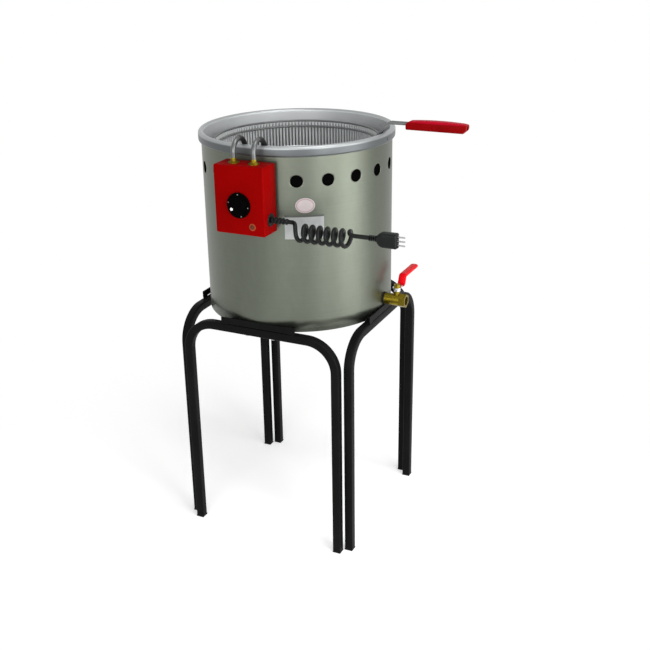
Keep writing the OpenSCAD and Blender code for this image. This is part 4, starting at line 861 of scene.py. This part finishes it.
def knobShape(f):
    d, g, e, thick, pole = f["dial"], f["grip"], f["edge"], f["dialThick"], f["pole"]
    h = thick + f["gripHigh"]
    profile = np.array([  # radius, distance from the box and share of the flutes' depth
        [pole, 0, 0], [d - e, 0, 0.8], [d, e, 1], [d, thick - e, 1], [d - e, thick, 0.8], [g + e, thick, 0],
        [g, thick + e, 0], [g, h - e, 0], [g - e, h, 0], [g - 2.5 * e, h, 0], [pole, h, 0]])
    r, out, fluted = profile[:, :1], profile[:, 1:2], profile[:, 2:]
    a = np.linspace(0, 2 * np.pi, f["sides"], endpoint=False)
    radius = r - f["depth"] * fluted * (1 + np.cos(f["flutes"] * a))
    points = np.stack([f["x"] + radius * np.cos(a), np.broadcast_to(f["y"] - out, radius.shape),
                       f["z"] + radius * np.sin(a)], -1)
    return gridShape(points, wrapColumns=True, capRows=True, flip=True)


makePiece("knobMoulding", [knobShape(knobForm)], "knob", "knob_black", ["control_knob"], sharp=30)
print("knob moulded")

# lever sleeve: a rounded flat section along the lever's bend, closed by a round tip
sleeveForm = dict(x=0.2287, z=0.5553, start=0.021, flat=0.0262, run=0.008, rise=0.017, reach=0.1083,
                  width=0.0166, thick=0.0076, tip=0.0055, bend=0.003, power=3.2, sides=40)


def sleeveShape(f):
    kneeEnd, tipStart = f["flat"] + f["run"], f["reach"] - f["tip"]
    knee = np.array([[f["start"], 0], [f["flat"], 0], [kneeEnd, f["rise"]], [f["reach"], f["rise"]]])

    def turnAt(i):  # quadratic curve that cuts the corner i
        before = knee[i] + unitRows(knee[i - 1] - knee[i]) * f["bend"]
        after = knee[i] + unitRows(knee[i + 1] - knee[i]) * f["bend"]
        t = np.linspace(0, 1, 9)[:, None]
        return (1 - t) ** 2 * before + 2 * t * (1 - t) * knee[i] + t ** 2 * after

    longRun = np.linspace(kneeEnd + 0.006, tipStart - 0.002, 12)
    tipRun = tipStart + f["tip"] * np.sin(np.linspace(0, np.pi / 2, 10))
    run = np.concatenate([longRun, tipRun])
    line = np.vstack([knee[:1], turnAt(1), turnAt(2), np.column_stack([run, np.full_like(run, f["rise"])])])
    path = np.column_stack([np.full(len(line), f["x"]), line[:, 0], f["z"] + line[:, 1]])
    left = np.clip((f["reach"] - line[:, 0]) / f["tip"], 0, 1)
    close = np.sqrt(np.clip(1 - (1 - left) ** 2, 0.01, 1))[:, None]
    section = superSection(f["width"] / 2 * close, f["thick"] / 2 * (0.35 + 0.65 * close), f["power"],
                           f["sides"])
    return sweep(path, (1, 0, 0), section)


makePiece("leverSleeve", [sleeveShape(sleeveForm)], "drain_lever", "lever_red", ["lever_sleeve"], sharp=45)
print("lever sleeve dipped")

# studio: a floor that keeps the shadows near the stand and is white far off, white world, large soft lamps;
# each lamp has its name, place, size and power
studio = dict(floorHalf=9.0, floorZ=-0.0002, floorColour=0.86, lift=0.45, nearShadow=0.40, farWhite=0.95,
              worldLight=0.30, aim=(0.0, 0.0, 0.55),
              lamps=(("sideLamp", (2.6, -0.1, 0.95), (1.2, 2.0), 23.5),
                     ("lowLamp", (1.5, -0.05, 0.30), (0.9, 0.55), 3.4),
                     ("stripLamp", (2.2, -1.5, 1.0), (0.7, 1.8), 27.0),
                     ("highLamp", (1.1, -0.6, 3.2), (1.5, 1.5), 32.0),
                     ("frontLamp", (0.5, -3.2, 1.2), (1.8, 1.6), 42.0)))
white = tint(1, 1, 1)


def makeFloor(v):
    line = np.linspace(-v["floorHalf"], v["floorHalf"], 9)
    x, y = np.meshgrid(line, line, indexing="ij")
    mesh = shapeMesh("studioFloor", gridShape(np.stack([x, y, 0 * x + v["floorZ"]], -1)))
    paint = Paint("studioFloorPaint", Roughness=0.9)
    pale = shade(white, v["floorColour"])
    paint.feed(Base_Color=paint.blend(paint.noise(6.0, 3.0), shade(pale, 0.99), pale))
    ray = paint.add("ShaderNodeLightPath")
    direct = ray.out("Is Camera Ray").orMore(ray.out("Is Glossy Ray")).orMore(ray.out("Is Transmission Ray"))
    lit = Sock(paint, paint.shader.outputs[0])
    glow = paint.add("ShaderNodeEmission", {}, {"Color": white, "Strength": v["lift"]})
    lifted = paint.add("ShaderNodeAddShader", {}, {0: lit, 1: glow})
    blank = paint.add("ShaderNodeEmission", {}, {"Color": white, "Strength": 1.0})
    away = paint.fromAxis().step(v["nearShadow"], v["farWhite"])
    seenFloor = paint.add("ShaderNodeMixShader", {}, {0: away, 1: lifted, 2: blank})
    both = paint.add("ShaderNodeMixShader", {}, {0: direct, 1: lit, 2: seenFloor})
    paint.tree.links.new(both.socket, paint.tree.nodes["Material Output"].inputs["Surface"])
    mesh.materials.append(paint.material)
    addObject("studioFloor", mesh)


# white where it is seen directly or mirrored, dimmer as a light
def makeWorld(v):
    world = bpy.data.worlds.new("studioWorld")
    world.use_nodes = True
    scene.world = world
    tree = world.node_tree
    tree.nodes.clear()
    ray = tree.nodes.new("ShaderNodeLightPath").outputs
    dim, blank = tree.nodes.new("ShaderNodeBackground"), tree.nodes.new("ShaderNodeBackground")
    for background, strength in ((dim, v["worldLight"]), (blank, 1.0)):
        background.inputs["Color"].default_value = white
        background.inputs["Strength"].default_value = strength
    first, second = tree.nodes.new("ShaderNodeMath"), tree.nodes.new("ShaderNodeMath")
    first.operation = second.operation = "MAXIMUM"
    mix, end = tree.nodes.new("ShaderNodeMixShader"), tree.nodes.new("ShaderNodeOutputWorld")
    for source, target in ((ray["Is Camera Ray"], first.inputs[0]), (ray["Is Glossy Ray"], first.inputs[1]),
                           (first.outputs[0], second.inputs[0]),
                           (ray["Is Transmission Ray"], second.inputs[1]),
                           (second.outputs[0], mix.inputs[0]), (dim.outputs[0], mix.inputs[1]),
                           (blank.outputs[0], mix.inputs[2]), (mix.outputs[0], end.inputs["Surface"])):
        tree.links.new(source, target)


def makeLamps(v):
    for name, place, size, power in v["lamps"]:
        data = bpy.data.lights.new(name, "AREA")
        data.shape, data.energy = "RECTANGLE", power
        data.size, data.size_y = size
        back = unitRows(np.array(place) - v["aim"])
        right = unitRows(np.cross([0.0, 0.05, 1.0], back))  # not quite upright, so a lamp overhead has a side
        aimObject(addObject(name, data), right, np.cross(back, right), back, place)


makeFloor(studio)
makeWorld(studio)
makeLamps(studio)
print("studio lit")
